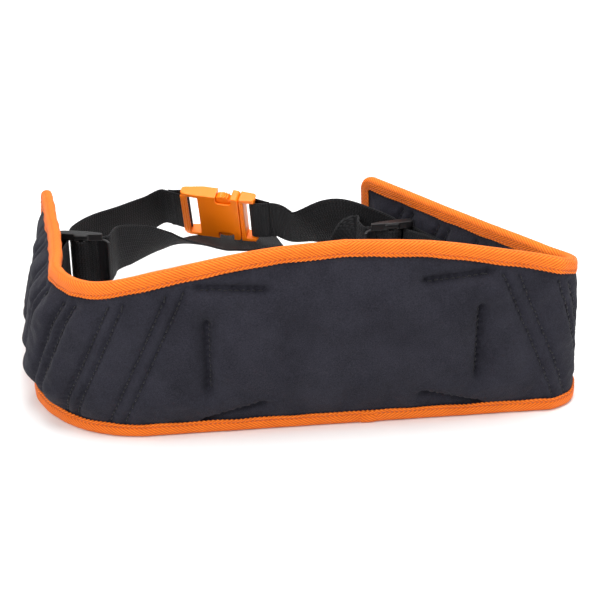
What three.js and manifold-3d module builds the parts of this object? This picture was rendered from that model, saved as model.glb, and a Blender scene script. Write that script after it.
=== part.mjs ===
// Padded hip belt with a side-release buckle. Millimetres, +Z up.
//
// The belt stands on its lower edge, buckled, as a ring. The lumbar pad runs along X with its outer face
// towards -Y, and a wing goes back from each end of it. Webbing closes the ring behind, from a ladder lock
// on each wing's inner face to the two halves of the buckle.
//
// Belt coordinates: `along` runs along the lower outer edge from the middle of the back, positive to the
// right, `depth` goes inwards from that edge, and `height` goes up from it.

import * as THREE from "three";
import { mergeVertices } from "three/addons/utils/BufferGeometryUtils.js";
import Module from "manifold-3d";

const wasm = await Module();
wasm.setup();

// ---- Driving dimensions -------------------------------------------------------------------------------

const CLEAR = 0.3; // gap between pieces that touch
const BELT_HALF = { right: 416, left: 404 }; // from the middle of the back to a wing's tip
const BACK_RUN = { right: 143, left: 132 }; // straight lumbar run to each corner
const CORNER_ARC = { right: 57, left: 122 };
const CORNER_TURN = { right: 119, left: 86 }; // degrees
const WING_TURN = { right: 4, left: 6 }; // degrees over the wing's length
const FLEX_GAP = 6; // the split where a wing bends from the lumbar pad

const BELT_HEIGHT = 138; // at the middle of the back

// [along, how far the upper edge has dropped from that height], the same on both sides
const UPPER_DROP = [[0, 0], [60, 4], [120, 15.5], [175, 29], [240, 33.5], [406, 42]];
// [along, how far the pad leans inwards for each millimetre of height]
const LEAN = {
  right: [[0, 0], [110, 0], [200, 0.08], [300, 0.1], [406, 0.06]],
  left: [[0, 0], [110, 0], [200, 0.12], [270, 0.2], [330, 0.18], [406, 0.1]],
};

const FABRIC = 1.2; // cover and lining thickness
const BINDING = 1.2; // binding tape thickness
const BINDING_LEG = 10; // how far the tape laps over each face
const EDGE_HALF = 2.6; // half the covered pad's thickness inside the binding
const PAD_HALF = 9; // half its thickness in the middle of the back
const TIP_HALF = 6; // and towards the tips
const TAPER = [143, 326]; // where the thickness goes from one to the other
const TIP_RADIUS = 13; // the wings' rounded corners
// Distances in from the pad's edge: the foam starts, it swells, and the pad is full.
const PUFF = { start: 14, swell: 20, full: 36 };

const STIFFENER = { thick: 1.5, half: 108 };

const WEB_WIDTH = 38;
const WEB_THICK = 1.5;

const LOCK = { length: 35, rail: 5.5, railHalf: 3.4, bar: 2.2, midBar: 14, lipStart: 26.5, height: 56 };
// Where along the belt each lock hangs, and the way it points in degrees.
const LOCK_AT = {
  left: { along: 346, yaw: -9 },
  right: { along: 348.5, yaw: 184 },
};

const BUCKLE = { body: 48, side: 4, thick: 12, wall: 2, bar: 1.6, slot: 8, base: 13 };
const BUCKLE_MOUTH = [-48.6, 240.2, 55.1];
const BUCKLE_TURN = { yaw: -20, pitch: 21, roll: 2 }; // degrees
const NOTCH = { near: 6, far: 19, deep: 7 }; // the finger openings in the buckle's two edges

const COLOURS = {
  fabric: { color: 0x2d2d34, roughness: 0.9, metalness: 0 },
  lining: { color: 0x26262b, roughness: 0.95, metalness: 0 },
  tape: { color: 0xf48a2b, roughness: 0.8, metalness: 0 },
  foam: { color: 0x8a8d90, roughness: 0.95, metalness: 0 },
  board: { color: 0xd8d8d2, roughness: 0.6, metalness: 0 },
  webbing: { color: 0x1c1c1f, roughness: 0.85, metalness: 0 },
  thread: { color: 0x141416, roughness: 0.8, metalness: 0 },
  lock: { color: 0x1b1b1d, roughness: 0.45, metalness: 0 },
  buckle: { color: 0xee7d10, roughness: 0.4, metalness: 0 },
};

// ---- Small helpers ------------------------------------------------------------------------------------

const radians = THREE.MathUtils.degToRad;
const lerp = THREE.MathUtils.lerp;
const sideOf = (along) => (along < 0 ? "left" : "right");
const fromTip = (along) => BELT_HALF[sideOf(along)] - Math.abs(along);

// The value at x of a smooth line through [x, value] points.
function through(points, x) {
  const last = points.length - 1;
  let i = 0;
  while (i < last - 1 && x > points[i + 1][0]) i += 1;
  const slope = (k) => {
    const a = points[Math.max(k - 1, 0)];
    const b = points[Math.min(k + 1, last)];
    return (b[1] - a[1]) / (b[0] - a[0]);
  };
  const [x0, y0] = points[i];
  const [x1, y1] = points[i + 1];
  const w = x1 - x0;
  const t = THREE.MathUtils.clamp((x - x0) / w, 0, 1);
  const rise = (y1 - y0) * t * t * (3 - 2 * t);
  return y0 + rise + w * (slope(i) * t * (1 - t) ** 2 - slope(i + 1) * t * t * (1 - t));
}

// Six times the signed volume of an indexed geometry.
function signedVolume(geometry) {
  const at = geometry.getAttribute("position");
  const corner = (k) => new THREE.Vector3().fromBufferAttribute(at, geometry.index.getX(k));
  let sum = 0;
  for (let k = 0; k < geometry.index.count; k += 3) {
    sum += corner(k).dot(corner(k + 1).cross(corner(k + 2)));
  }
  return sum;
}

// A geometry as one indexed closed body whose faces point out.
function closed(geometry) {
  const plain = new THREE.BufferGeometry();
  plain.setAttribute("position", geometry.getAttribute("position").clone());
  if (geometry.index) plain.setIndex(geometry.index.clone());
  const merged = mergeVertices(plain, 1e-4);
  if (signedVolume(merged) < 0) {
    const order = Array.from(merged.index.array);
    for (let k = 0; k < order.length; k += 3) [order[k], order[k + 1]] = [order[k + 1], order[k]];
    merged.setIndex(order);
  }
  return merged;
}

// Moves each vertex of a geometry by place(x, y, z), which returns a Vector3.
function reshape(geometry, place) {
  const at = geometry.getAttribute("position");
  for (let i = 0; i < at.count; i += 1) {
    const p = place(at.getX(i), at.getY(i), at.getZ(i));
    at.setXYZ(i, p.x, p.y, p.z);
  }
  return closed(geometry);
}

// ---- Joining and cutting ------------------------------------------------------------------------------

function toSolid(geometry) {
  const g = closed(geometry);
  const vertProperties = new Float32Array(g.getAttribute("position").array);
  const triVerts = new Uint32Array(g.index.array);
  return new wasm.Manifold(new wasm.Mesh({ numProp: 3, vertProperties, triVerts }));
}

function fromSolid(solid) {
  const mesh = solid.getMesh();
  const geometry = new THREE.BufferGeometry();
  geometry.setAttribute("position", new THREE.BufferAttribute(new Float32Array(mesh.vertProperties), 3));
  geometry.setIndex(Array.from(mesh.triVerts));
  return closed(geometry);
}

const join = (...shapes) => fromSolid(shapes.map(toSolid).reduce((a, b) => a.add(b)));
const cut = (shape, ...tools) => fromSolid(tools.map(toSolid).reduce((a, b) => a.subtract(b), toSolid(shape)));

// A block between two corners.
function block([x0, y0, z0], [x1, y1, z1]) {
  const g = new THREE.BoxGeometry(x1 - x0, y1 - y0, z1 - z0);
  return g.translate((x0 + x1) / 2, (y0 + y1) / 2, (z0 + z1) / 2);
}

// A rounded rectangle in x and z, extruded in y between two values.
function plate([x0, z0], [x1, z1], [y0, y1], radius) {
  const s = new THREE.Shape();
  s.moveTo(x0 + radius, z0);
  s.lineTo(x1 - radius, z0);
  s.absarc(x1 - radius, z0 + radius, radius, -Math.PI / 2, 0);
  s.lineTo(x1, z1 - radius);
  s.absarc(x1 - radius, z1 - radius, radius, 0, Math.PI / 2);
  s.lineTo(x0 + radius, z1);
  s.absarc(x0 + radius, z1 - radius, radius, Math.PI / 2, Math.PI);
  s.lineTo(x0, z0 + radius);
  s.absarc(x0 + radius, z0 + radius, radius, Math.PI, Math.PI * 1.5);
  const g = new THREE.ExtrudeGeometry(s, { depth: y1 - y0, bevelEnabled: false, curveSegments: 4 });
  return g.rotateX(Math.PI / 2).translate(0, y1, 0);
}

// ---- The belt's own coordinates -----------------------------------------------------------------------

const runs = (side) => [
  [BACK_RUN[side], 0],
  [CORNER_ARC[side], radians(CORNER_TURN[side])],
  [BELT_HALF[side] - BACK_RUN[side] - CORNER_ARC[side], radians(WING_TURN[side])],
];

// Where the lower outer edge is, and its heading, at a distance from the middle of the back.
function edgeAt(side, distance) {
  let [x, y, heading, left] = [0, 0, 0, distance];
  for (const [length, turn] of runs(side)) {
    const step = Math.min(left, length);
    const bend = turn / length;
    if (bend === 0) x += step;
    else {
      x += (Math.sin(heading + bend * step) - Math.sin(heading)) / bend;
      y += (Math.cos(heading) - Math.cos(heading + bend * step)) / bend;
      heading += bend * step;
    }
    left -= step;
    if (left <= 0) break;
  }
  return { x, y, heading };
}

const upperEdge = (along) => BELT_HEIGHT - through(UPPER_DROP, Math.abs(along));
const lean = (along) => through(LEAN[sideOf(along)], Math.abs(along));

function beltPoint(along, height, depth) {
  const side = sideOf(along);
  const { x, y, heading } = edgeAt(side, Math.abs(along));
  const inwards = depth + height * lean(along);
  const px = x - Math.sin(heading) * inwards;
  const py = y + Math.cos(heading) * inwards;
  return new THREE.Vector3(side === "left" ? -px : px, py, height);
}

// The middle of the pad's thickness, as a depth.
const MIDDLE = EDGE_HALF + CLEAR + BINDING;

// Half the covered pad's thickness at a distance in from its nearest edge.
function halfThickness(along, fromEdge) {
  const towardsTip = THREE.MathUtils.smoothstep(Math.abs(along), ...TAPER);
  const full = lerp(PAD_HALF, TIP_HALF, towardsTip);
  return lerp(EDGE_HALF, full, Math.sqrt(THREE.MathUtils.smoothstep(fromEdge, PUFF.start, PUFF.full)));
}

// How much a rounded tip takes off the lower and upper edges at a distance from the tip.
function tipTrim(distance, radius) {
  if (distance >= radius) return 0;
  return radius - Math.sqrt(Math.max(radius ** 2 - (radius - distance) ** 2, 0));
}

// ---- Panels -------------------------------------------------------------------------------------------

const FLEX = {
  right: BACK_RUN.right + CORNER_ARC.right / 2,
  left: BACK_RUN.left + CORNER_ARC.left / 2,
};

// The stretch of belt that each rigid body holds. `tip` is the end that is rounded, if there is one.
const SPANS = {
  center: { from: -FLEX.left + FLEX_GAP / 2, to: FLEX.right - FLEX_GAP / 2, tip: 0 },
  right: { from: FLEX.right + FLEX_GAP / 2, to: BELT_HALF.right, tip: 1 },
  left: { from: -BELT_HALF.left, to: -FLEX.left - FLEX_GAP / 2, tip: -1 },
};

// Stations along a span: close together on the corners and towards the tip, wider on straight runs, where
// a leaning wing twists more than the flat back.
function stations(span, inset) {
  const { from, to, tip } = SPANS[span];
  const start = tip < 0 ? from + inset : from;
  const end = tip > 0 ? to - inset : to;
  const found = [start, end];
  const wide = { back: 30, wing: 15 };
  const near = { right: CORNER_ARC.right / 6, left: CORNER_ARC.left / 8 };
  const tipSteps = [4, 7.5, 11, PUFF.start, PUFF.swell, PUFF.full, 50];
  for (const side of ["left", "right"]) {
    const sign = side === "left" ? -1 : 1;
    const corner = BACK_RUN[side];
    for (let k = 0; k * near[side] <= CORNER_ARC[side]; k += 1) found.push(sign * (corner + k * near[side]));
    for (let s = wide.back / 2; s < corner - wide.back / 2; s += wide.back) found.push(sign * s);
    for (let s = corner + CORNER_ARC[side] + wide.wing; s < BELT_HALF[side] - 55; s += wide.wing) {
      found.push(sign * s);
    }
    for (const back of tipSteps) found.push(sign * (BELT_HALF[side] - back));
  }
  const least = 0.9;
  const within = found.filter((s) => s >= start && s <= end).sort((a, b) => a - b);
  return within.filter((s, i) => i === 0 || s === end || (s - within[i - 1] >= least && end - s >= least));
}

// The distance from a place on the pad to the pad's outline, whose tips have rounded corners.
function fromOutline(along, height) {
  const end = fromTip(along);
  const fromEdge = Math.min(height, upperEdge(along) - height);
  if (end >= TIP_RADIUS || fromEdge >= TIP_RADIUS) return Math.min(end, fromEdge);
  return TIP_RADIUS - Math.hypot(TIP_RADIUS - end, TIP_RADIUS - fromEdge);
}

// A panel of the pad over one span, inset from the pad's edge, between two faces given as offsets from the
// pad's middle by a function of (along, distance from the edge). All panels share their inner rows, and the
// two faces are divided along opposite diagonals, so layers that lie together keep their gap when one's
// first face meets the other's second or, as the foam does in the covers, takes the two the other way round.
function panel(span, inset, firstFace, secondFace) {
  const at = stations(span, inset);
  const levels = [inset, ...[PUFF.start, PUFF.swell, PUFF.full].filter((v) => v > inset)];
  const rows = levels.length * 2;
  const radius = Math.max(TIP_RADIUS - inset, 0);
  const g = new THREE.BoxGeometry(1, 1, 1, at.length - 1, rows, 1);
  return reshape(g, (x, y, z) => {
    const along = at[Math.round((x + 0.5) * (at.length - 1))];
    const row = Math.round((y + 0.5) * rows);
    const trim = tipTrim(fromTip(along) - inset, radius);
    const whole = upperEdge(along);
    const rise = (k) => Math.max(levels[k], inset + trim + 0.8 * k);
    let height = whole / 2;
    if (row < levels.length) height = rise(row);
    if (row > levels.length) height = whole - rise(rows - row);
    const fromEdge = fromOutline(along, height);
    const face = z > 0 ? firstFace(along, fromEdge) : secondFace(along, fromEdge);
    return beltPoint(along, height, MIDDLE + face);
  });
}

const coverInset = BINDING + CLEAR;
const outside = (along, fromEdge) => -halfThickness(along, fromEdge);
const inside = (along, fromEdge) => halfThickness(along, fromEdge);

const outerCover = (span) => panel(span, coverInset, outside, (a, e) => outside(a, e) + FABRIC);
const innerLining = (span) => panel(span, coverInset, (a, e) => inside(a, e) - FABRIC, inside);

// The foam fills the covers, a little slimmer where they round over at a wing's tip and over the board.
function foam(span) {
  const skin = (along) => FABRIC + CLEAR + (fromTip(along) < PUFF.full + 1 ? 0.75 : 0);
  const board = (e) => (span === "center" && e > PUFF.swell ? STIFFENER.thick + CLEAR : 0);
  const inner = (a, e) => inside(a, e) - skin(a) - board(e);
  return panel(span, PUFF.start, inner, (a, e) => outside(a, e) + skin(a));
}

// A thin board behind the lumbar foam, against the lining.
function stiffener() {
  const steps = 8;
  const g = new THREE.BoxGeometry(1, 1, 1, steps, 2, 1);
  return reshape(g, (x, y, z) => {
    const along = x * 2 * STIFFENER.half;
    const height = lerp(PUFF.full, upperEdge(STIFFENER.half) - PUFF.full, y + 0.5);
    const face = inside(along, PUFF.full) - FABRIC - CLEAR;
    return beltPoint(along, height, MIDDLE + (z > 0 ? face - STIFFENER.thick : face));
  });
}

// ---- Binding tape -------------------------------------------------------------------------------------

// The tape's folded section: x goes in from the pad's edge and y is the offset from the pad's middle.
function tapeSection() {
  const innerHalf = EDGE_HALF + CLEAR;
  const outerHalf = innerHalf + BINDING;
  const s = new THREE.Shape();
  s.moveTo(BINDING_LEG, -outerHalf);
  s.lineTo(2.2, -outerHalf);
  s.lineTo(0, -outerHalf + 2.2);
  s.lineTo(0, outerHalf - 2.2);
  s.lineTo(2.2, outerHalf);
  s.lineTo(BINDING_LEG, outerHalf);
  s.lineTo(BINDING_LEG, innerHalf);
  s.lineTo(BINDING, innerHalf);
  s.lineTo(BINDING, -innerHalf);
  s.lineTo(BINDING_LEG, -innerHalf);
  return s;
}

// The pad's edge as places {along, height, inAlong, inHeight}, the last two pointing into the pad.
function edgePlaces(span, edge) {
  const at = stations(span, 0);
  const { tip } = SPANS[span];
  const straight = tip === 0 ? at : at.filter((s) => fromTip(s) >= TIP_RADIUS);
  const upper = straight.map((s) => ({ along: s, height: upperEdge(s), inAlong: 0, inHeight: -1 }));
  const lower = straight.map((s) => ({ along: s, height: 0, inAlong: 0, inHeight: 1 }));
  if (edge === "upper") return upper;
  if (edge === "lower") return lower;
  const outwards = (list) => (tip > 0 ? list : list.slice().reverse());
  const steps = 5;
  const round = [];
  const centre = (tip > 0 ? BELT_HALF.right : BELT_HALF.left) - TIP_RADIUS;
  for (const up of [true, false]) {
    for (let k = 0; k <= steps; k += 1) {
      const turn = (Math.PI / 2) * (k / steps);
      const angle = up ? Math.PI / 2 - turn : -turn;
      const [c, s] = [Math.cos(angle), Math.sin(angle)];
      const along = tip * (centre + TIP_RADIUS * c);
      const middle = up ? upperEdge(along) - TIP_RADIUS : TIP_RADIUS;
      round.push({ along, height: middle + TIP_RADIUS * s, inAlong: -tip * c, inHeight: -s });
    }
  }
  return [...outwards(upper).slice(0, -1), ...round, ...outwards(lower).reverse().slice(1)];
}

function bindingTape(span, edge) {
  const places = edgePlaces(span, edge);
  const steps = places.length - 1;
  const g = new THREE.ExtrudeGeometry(tapeSection(), { depth: 1, steps, bevelEnabled: false });
  return reshape(g, (x, y, z) => {
    const p = places[Math.round(z * steps)];
    return beltPoint(p.along + p.inAlong * x, p.height + p.inHeight * x, MIDDLE + y);
  });
}

// ---- Webbing ------------------------------------------------------------------------------------------

// A strip of webbing along a centre line, with the direction of its width at each of the line's points.
function strip(points, widths, steps, width = WEB_WIDTH, thick = WEB_THICK) {
  const line = new THREE.CatmullRomCurve3(points, false, "centripetal");
  const across = new THREE.CatmullRomCurve3(widths, false, "centripetal");
  const frames = [];
  for (let i = 0; i <= steps; i += 1) {
    const t = i / steps;
    const tangent = line.getTangent(t);
    const side = across.getPoint(t).normalize();
    side.addScaledVector(tangent, -side.dot(tangent)).normalize();
    frames.push({ at: line.getPoint(t), side, face: new THREE.Vector3().crossVectors(tangent, side) });
  }
  const g = new THREE.BoxGeometry(1, 1, 1, steps, 2, 1);
  return reshape(g, (x, y, z) => {
    const { at, side, face } = frames[Math.round((x + 0.5) * steps)];
    return at.clone().addScaledVector(side, y * width).addScaledVector(face, z * thick);
  });
}

const vectors = (list) => list.map(([x, y, z]) => new THREE.Vector3(x, y, z));
const UP = [0, 0, 1];

// A local x, y path at one height, as a strip standing on edge in a turned frame.
function standingStrip(path, frame, steps) {
  const points = path.map(([x, y]) => new THREE.Vector3(x, y, 0).applyMatrix4(frame));
  const up = new THREE.Vector3(0, 0, 1).transformDirection(frame);
  return strip(points, points.map(() => up.clone()), steps);
}

// ---- Ladder locks -------------------------------------------------------------------------------------

const tabLayer = CLEAR + WEB_THICK / 2; // the middle of a tab's first layer, off the wing's face
const tabRound = LOCK.bar + CLEAR + WEB_THICK / 2 + 0.25; // the middle of a tab's bend, from the bar's middle

// A point off the lining's face, at a height.
function facePoint(along, height, off) {
  const face = halfThickness(along, PUFF.full);
  return beltPoint(along, height, MIDDLE + face + off);
}

// A lock's end bar: it stands off the face far enough for the tab to be upright where the wing leans.
function lockBar(side) {
  const along = (side === "left" ? -1 : 1) * LOCK_AT[side].along;
  const off = tabLayer + tabRound + (lean(along) * WEB_WIDTH) / 2;
  return { along, off, at: facePoint(along, LOCK.height, off) };
}

// A lock's frame: x from its end bar to its lip, y to the back, z up, with the origin on the end bar.
function lockFrame(side) {
  const { x, y, z } = lockBar(side).at;
  const back = side === "left" ? 1 : -1;
  const turn = new THREE.Matrix4().makeRotationZ(radians(LOCK_AT[side].yaw));
  const flip = new THREE.Matrix4().makeScale(1, back, 1);
  return new THREE.Matrix4().makeTranslation(x, y, z).multiply(turn).multiply(flip);
}

const slotHalf = WEB_WIDTH / 2 + 0.6; // half the clear height between a lock's rails

function lockRail(sign) {
  const end = 3.2;
  const s = new THREE.Shape();
  s.absarc(0, 0, end, Math.PI / 2, Math.PI * 1.5);
  s.quadraticCurveTo(LOCK.length * 0.4, -LOCK.railHalf - 1.6, LOCK.lipStart + 4, -LOCK.railHalf);
  s.lineTo(LOCK.lipStart + 4, -0.6);
  s.quadraticCurveTo(LOCK.length * 0.4, LOCK.railHalf, 0, end);
  const g = new THREE.ExtrudeGeometry(s, { depth: LOCK.rail, bevelEnabled: false, curveSegments: 5 });
  return g.translate(0, 0, sign > 0 ? slotHalf : -slotHalf - LOCK.rail);
}

function lockLip() {
  const half = slotHalf + 0.2;
  const s = new THREE.Shape();
  s.moveTo(LOCK.lipStart, -1.4);
  s.quadraticCurveTo(LOCK.length - 3, -1.8, LOCK.length, -7.4);
  s.lineTo(LOCK.length + 2, -6.6);
  s.quadraticCurveTo(LOCK.length - 1, 1.2, LOCK.lipStart, 1.4);
  const g = new THREE.ExtrudeGeometry(s, { depth: half * 2, bevelEnabled: false, curveSegments: 5 });
  return g.translate(0, 0, -half);
}

function ladderLock(side) {
  const tall = slotHalf * 2 + 0.4;
  const endBar = new THREE.CylinderGeometry(LOCK.bar, LOCK.bar, tall, 12).rotateX(Math.PI / 2);
  const middleBar = block([LOCK.midBar - 2, -1.6, -tall / 2], [LOCK.midBar + 2, 1.6, tall / 2]);
  const whole = join(lockRail(1), lockRail(-1), endBar, middleBar, lockLip());
  return closed(whole.applyMatrix4(lockFrame(side)));
}

// The webbing through a lock: in by the slot beside the end bar, over the middle bar, out by the other slot.
function lockWrap(side) {
  const over = LOCK.midBar;
  const path = [
    [over - 9, 7], [over - 8, 3], [over - 6.5, -1], [over - 3, -3.9], [over, -4.3],
    [over + 3, -3.9], [over + 6.5, -1], [over + 8.5, 2.5], [over + 12, 5], [over + 16, 6.5],
  ];
  return standingStrip(path, lockFrame(side), 26);
}

// The doubled webbing tab that ties a lock's end bar to the wing.
function lockTab(side) {
  const sign = side === "left" ? -1 : 1;
  const { along, off } = lockBar(side);
  const second = tabLayer + WEB_THICK + 0.35;
  const bend = tabRound * 0.71;
  const near = off - tabRound;
  const path = [
    [-36, tabLayer], [-28, tabLayer], [-20, tabLayer + 0.1], [-13, lerp(tabLayer, near, 0.45)], [-6, near],
    [0, near], [bend, off - bend], [tabRound, off], [bend, off + bend], [0, off + tabRound],
    [-6, off + tabRound - 0.8], [-13, lerp(second, off + tabRound, 0.4)], [-20, second + 0.15],
    [-28, second], [-36, second],
  ];
  const points = path.map(([back, out]) => facePoint(along + sign * back, LOCK.height, out));
  const half = WEB_WIDTH / 2;
  const widths = path.map(([back]) => {
    const at = along + sign * back;
    const slope = facePoint(at, LOCK.height + half, 0).sub(facePoint(at, LOCK.height - half, 0));
    const twist = THREE.MathUtils.smoothstep(back, -17, -5);
    return slope.normalize().lerp(new THREE.Vector3(0, 0, 1), twist);
  });
  return strip(points, widths, 44);
}

// ---- Buckle -------------------------------------------------------------------------------------------

// The buckle's frame: x along the webbing with 0 at the socket's mouth, y through its thickness, z across.
function buckleFrame() {
  const { yaw, pitch, roll } = BUCKLE_TURN;
  const turn = new THREE.Matrix4()
    .makeRotationZ(radians(yaw))
    .multiply(new THREE.Matrix4().makeRotationY(radians(roll)))
    .multiply(new THREE.Matrix4().makeRotationX(radians(pitch)));
  return new THREE.Matrix4().makeTranslation(...BUCKLE_MOUTH).multiply(turn);
}

const halfWidth = WEB_WIDTH / 2 + BUCKLE.side;
const halfThick = BUCKLE.thick / 2;
const socketEnd = -BUCKLE.body + BUCKLE.slot + 6; // the socket's closed end, past the webbing slot
const cavityHalf = halfWidth - 4; // half the socket's clear width
const cavityDeep = halfThick - BUCKLE.wall; // half its clear thickness

const slotWide = WEB_WIDTH + 1.6; // the clear width of both webbing slots
const socketBar = -BUCKLE.body + BUCKLE.bar;
const baseBar = BUCKLE.base - BUCKLE.bar;

// The round bar that the webbing is sewn over.
function webbingBar(x) {
  const bar = new THREE.CylinderGeometry(BUCKLE.bar, BUCKLE.bar, slotWide + 2, 12);
  return bar.rotateX(Math.PI / 2).translate(x, 0, 0);
}

function buckleSocket() {
  const shell = plate([socketEnd, -halfWidth], [0, halfWidth], [-halfThick, halfThick], 3);
  const cavity = block(
    [socketEnd + BUCKLE.wall + 1, -cavityDeep, -cavityHalf], [5, cavityDeep, cavityHalf]);
  const notches = [1, -1].map((sign) => {
    const edge = sign * (halfWidth + 1);
    const deep = sign * (halfWidth - NOTCH.deep);
    const [low, high] = [Math.min(edge, deep), Math.max(edge, deep)];
    return plate([-NOTCH.far, low], [-NOTCH.near, high], [-halfThick - 1, halfThick + 1], 2.5);
  });
  const barEnd = -BUCKLE.body;
  const frame = plate([barEnd, -halfWidth], [socketEnd + 3, halfWidth], [-3.2, 3.2], 3);
  const slot = block([barEnd - 1, -4, -slotWide / 2], [socketEnd - 0.6, 4, slotWide / 2]);
  return cut(join(shell, cut(frame, slot), webbingBar(socketBar)), cavity, ...notches);
}

const armInner = 11; // a prong's arm, as distances from the buckle's middle line
const armOuter = 14.4;

function buckleBase() {
  const face = CLEAR;
  const back = BUCKLE.base;
  const body = plate([face, -halfWidth], [back, halfWidth], [-halfThick + 1, halfThick - 1], 2);
  const slot = block([face + 4, -halfThick, -slotWide / 2], [back + 1, halfThick, slotWide / 2]);
  const tongue = plate([-27, -4], [face + 1, 4], [-2.2, 2.2], 1.5);
  return join(cut(body, slot), tongue, webbingBar(baseBar));
}

// A prong springs from the base and carries the release button that shows in the socket's notch.
function prong(sign) {
  const s = new THREE.Shape();
  const gap = CLEAR;
  s.moveTo(-gap + CLEAR, armInner);
  s.lineTo(-24, armInner + 0.6);
  s.quadraticCurveTo(-27.5, armInner + 1.5, -25.5, armOuter + 1.2);
  s.lineTo(-NOTCH.far + gap, cavityHalf - 0.6);
  s.lineTo(-NOTCH.far + gap, halfWidth - 2.2);
  s.quadraticCurveTo(-(NOTCH.far + NOTCH.near) / 2, halfWidth + 0.6, -NOTCH.near - gap, cavityHalf - 0.4);
  s.quadraticCurveTo(-NOTCH.near + 1, armOuter, -gap + CLEAR, armOuter);
  const deep = cavityDeep - 0.6;
  const g = new THREE.ExtrudeGeometry(s, { depth: deep * 2, bevelEnabled: false, curveSegments: 5 });
  g.rotateX(Math.PI / 2).translate(0, deep, 0);
  if (sign < 0) g.scale(1, 1, -1);
  return g;
}

// The webbing sewn round a buckle bar: out along one side of the bar and back along the other.
function barLoop(barX, towards, reach) {
  const round = BUCKLE.bar + CLEAR + WEB_THICK / 2 + 0.2;
  const flat = WEB_THICK / 2 + 0.2;
  const [near, turn] = [barX + towards * 7, 0.71 * round];
  const path = [
    [barX + towards * reach, flat], [near + towards * 3, flat + 0.2], [near, flat + 0.9], [barX, round],
    [barX - towards * turn, turn], [barX - towards * round, 0], [barX - towards * turn, -turn],
    [barX, -round], [near, -flat - 0.9], [near + towards * 3, -flat - 0.2], [barX + towards * reach, -flat],
  ];
  return standingStrip(path, buckleFrame(), 34);
}

const inBuckle = (geometry) => closed(closed(geometry).applyMatrix4(buckleFrame()));

const loopReach = { left: 14, right: 13 };

// ---- The runs of webbing between the locks and the buckle ----------------------------------------------

const SEAM = 0.5; // gap where one length of webbing follows another
const LEAD = 3; // how far a length keeps the direction of the one before it

// The two places and width directions that bring webbing into line with a sewn loop, the nearer one last.
function intoLoop(side) {
  const frame = buckleFrame();
  const width = new THREE.Vector3(0, 0, 1).transformDirection(frame).toArray();
  return [SEAM + LEAD * 2, SEAM].map((past) => {
    const x = side === "left" ? socketBar - loopReach.left - past : baseBar + loopReach.right + past;
    return [new THREE.Vector3(x, 0, 0).applyMatrix4(frame).toArray(), width];
  });
}

// The two places that lead webbing out of a lock: `slot` 0 is beside the end bar and 1 beside the lip.
function outOfLock(side, slot) {
  const [x, y, dx, dy] = slot === 0 ? [LOCK.midBar - 9, 7, -0.24, 0.97] : [LOCK.midBar + 16, 6.5, 0.94, 0.35];
  return [SEAM, SEAM + LEAD].map((past) => {
    const local = new THREE.Vector3(x + dx * past, y + dy * past, 0);
    return [local.applyMatrix4(lockFrame(side)).toArray(), UP];
  });
}

function webbingRuns() {
  const high = LOCK.height;
  const under = BUCKLE_MOUTH[2] - halfWidth - 2.6; // the left tail lies flat below the buckle
  return {
    strap_left_main: [
      ...outOfLock("left", 0), [[-184, 188, high], UP], [[-178, 200, high], UP],
      [[-168, 214, 55], UP], [[-149, 234, 53], [0, -0.1, 1]], [[-127, 255, 53], [-0.1, -0.3, 0.95]],
      ...intoLoop("left"),
    ],
    strap_left_tail: [
      ...outOfLock("left", 1), [[-153, 177, high], UP], [[-149, 191, 54], [0, -0.1, 1]],
      [[-134, 205, 50], [0, -0.35, 0.94]], [[-114, 217, 45], [0, -0.7, 0.7]],
      [[-92, 226, under + 10.5], [0, -0.93, 0.36]], [[-64, 246, under], [0, -1, 0.1]],
      [[-38, 251, under - 2], [0, -1, 0]], [[-18, 255, under - 2], [0, -1, 0]],
    ],
    strap_right_main: [
      ...outOfLock("right", 0), [[66, 176, high], UP], [[50, 191, 60], [0, -0.1, 1]],
      [[28, 206, 62], [0.15, -0.15, 0.98]], [[6, 219, 53], [0.3, -0.45, 0.85]],
      [[-9, 225, 50], [0.1, -0.5, 0.85]], ...intoLoop("right"),
    ],
    strap_right_tail: [
      ...outOfLock("right", 1), [[37, 172, 57], UP], [[38, 184, 55], [0, -0.2, 1]],
      [[27, 190, 45], [0.2, -0.5, 0.84]], [[12, 192, 32], [0.3, -0.7, 0.64]],
      [[-6, 196, 24], [0.1, -0.85, 0.5]],
    ],
  };
}

function webbingRun(name) {
  const places = webbingRuns()[name];
  return strip(vectors(places.map((p) => p[0])), vectors(places.map((p) => p[1])), 26);
}

// A bar of stitching on each face of a sewn loop would be thread only: one bar tack block stands for it.
function barTack(side) {
  const sign = side === "left" ? -1 : 1;
  const bar = side === "left" ? socketBar : baseBar;
  const x = bar + sign * (side === "left" ? 10 : 9.5);
  const face = WEB_THICK + 0.6 + CLEAR;
  const tack = block([x - 0.8, -face - 0.7, -WEB_WIDTH / 2 + 3], [x + 0.8, -face, WEB_WIDTH / 2 - 3]);
  return inBuckle(tack);
}

// ---- Assembly -----------------------------------------------------------------------------------------

const group = new THREE.Group();

function add(name, geometry, finish) {
  const mesh = new THREE.Mesh(geometry, new THREE.MeshStandardMaterial(COLOURS[finish]));
  mesh.name = name;
  group.add(mesh);
}

for (const span of ["center", "left", "right"]) {
  add(`outer_cover_${span}`, outerCover(span), "fabric");
  add(`inner_lining_${span}`, innerLining(span), "lining");
  add(`foam_${span}`, foam(span), "foam");
}
add("lumbar_board", stiffener(), "board");
add("binding_center_upper", bindingTape("center", "upper"), "tape");
add("binding_center_lower", bindingTape("center", "lower"), "tape");

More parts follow.
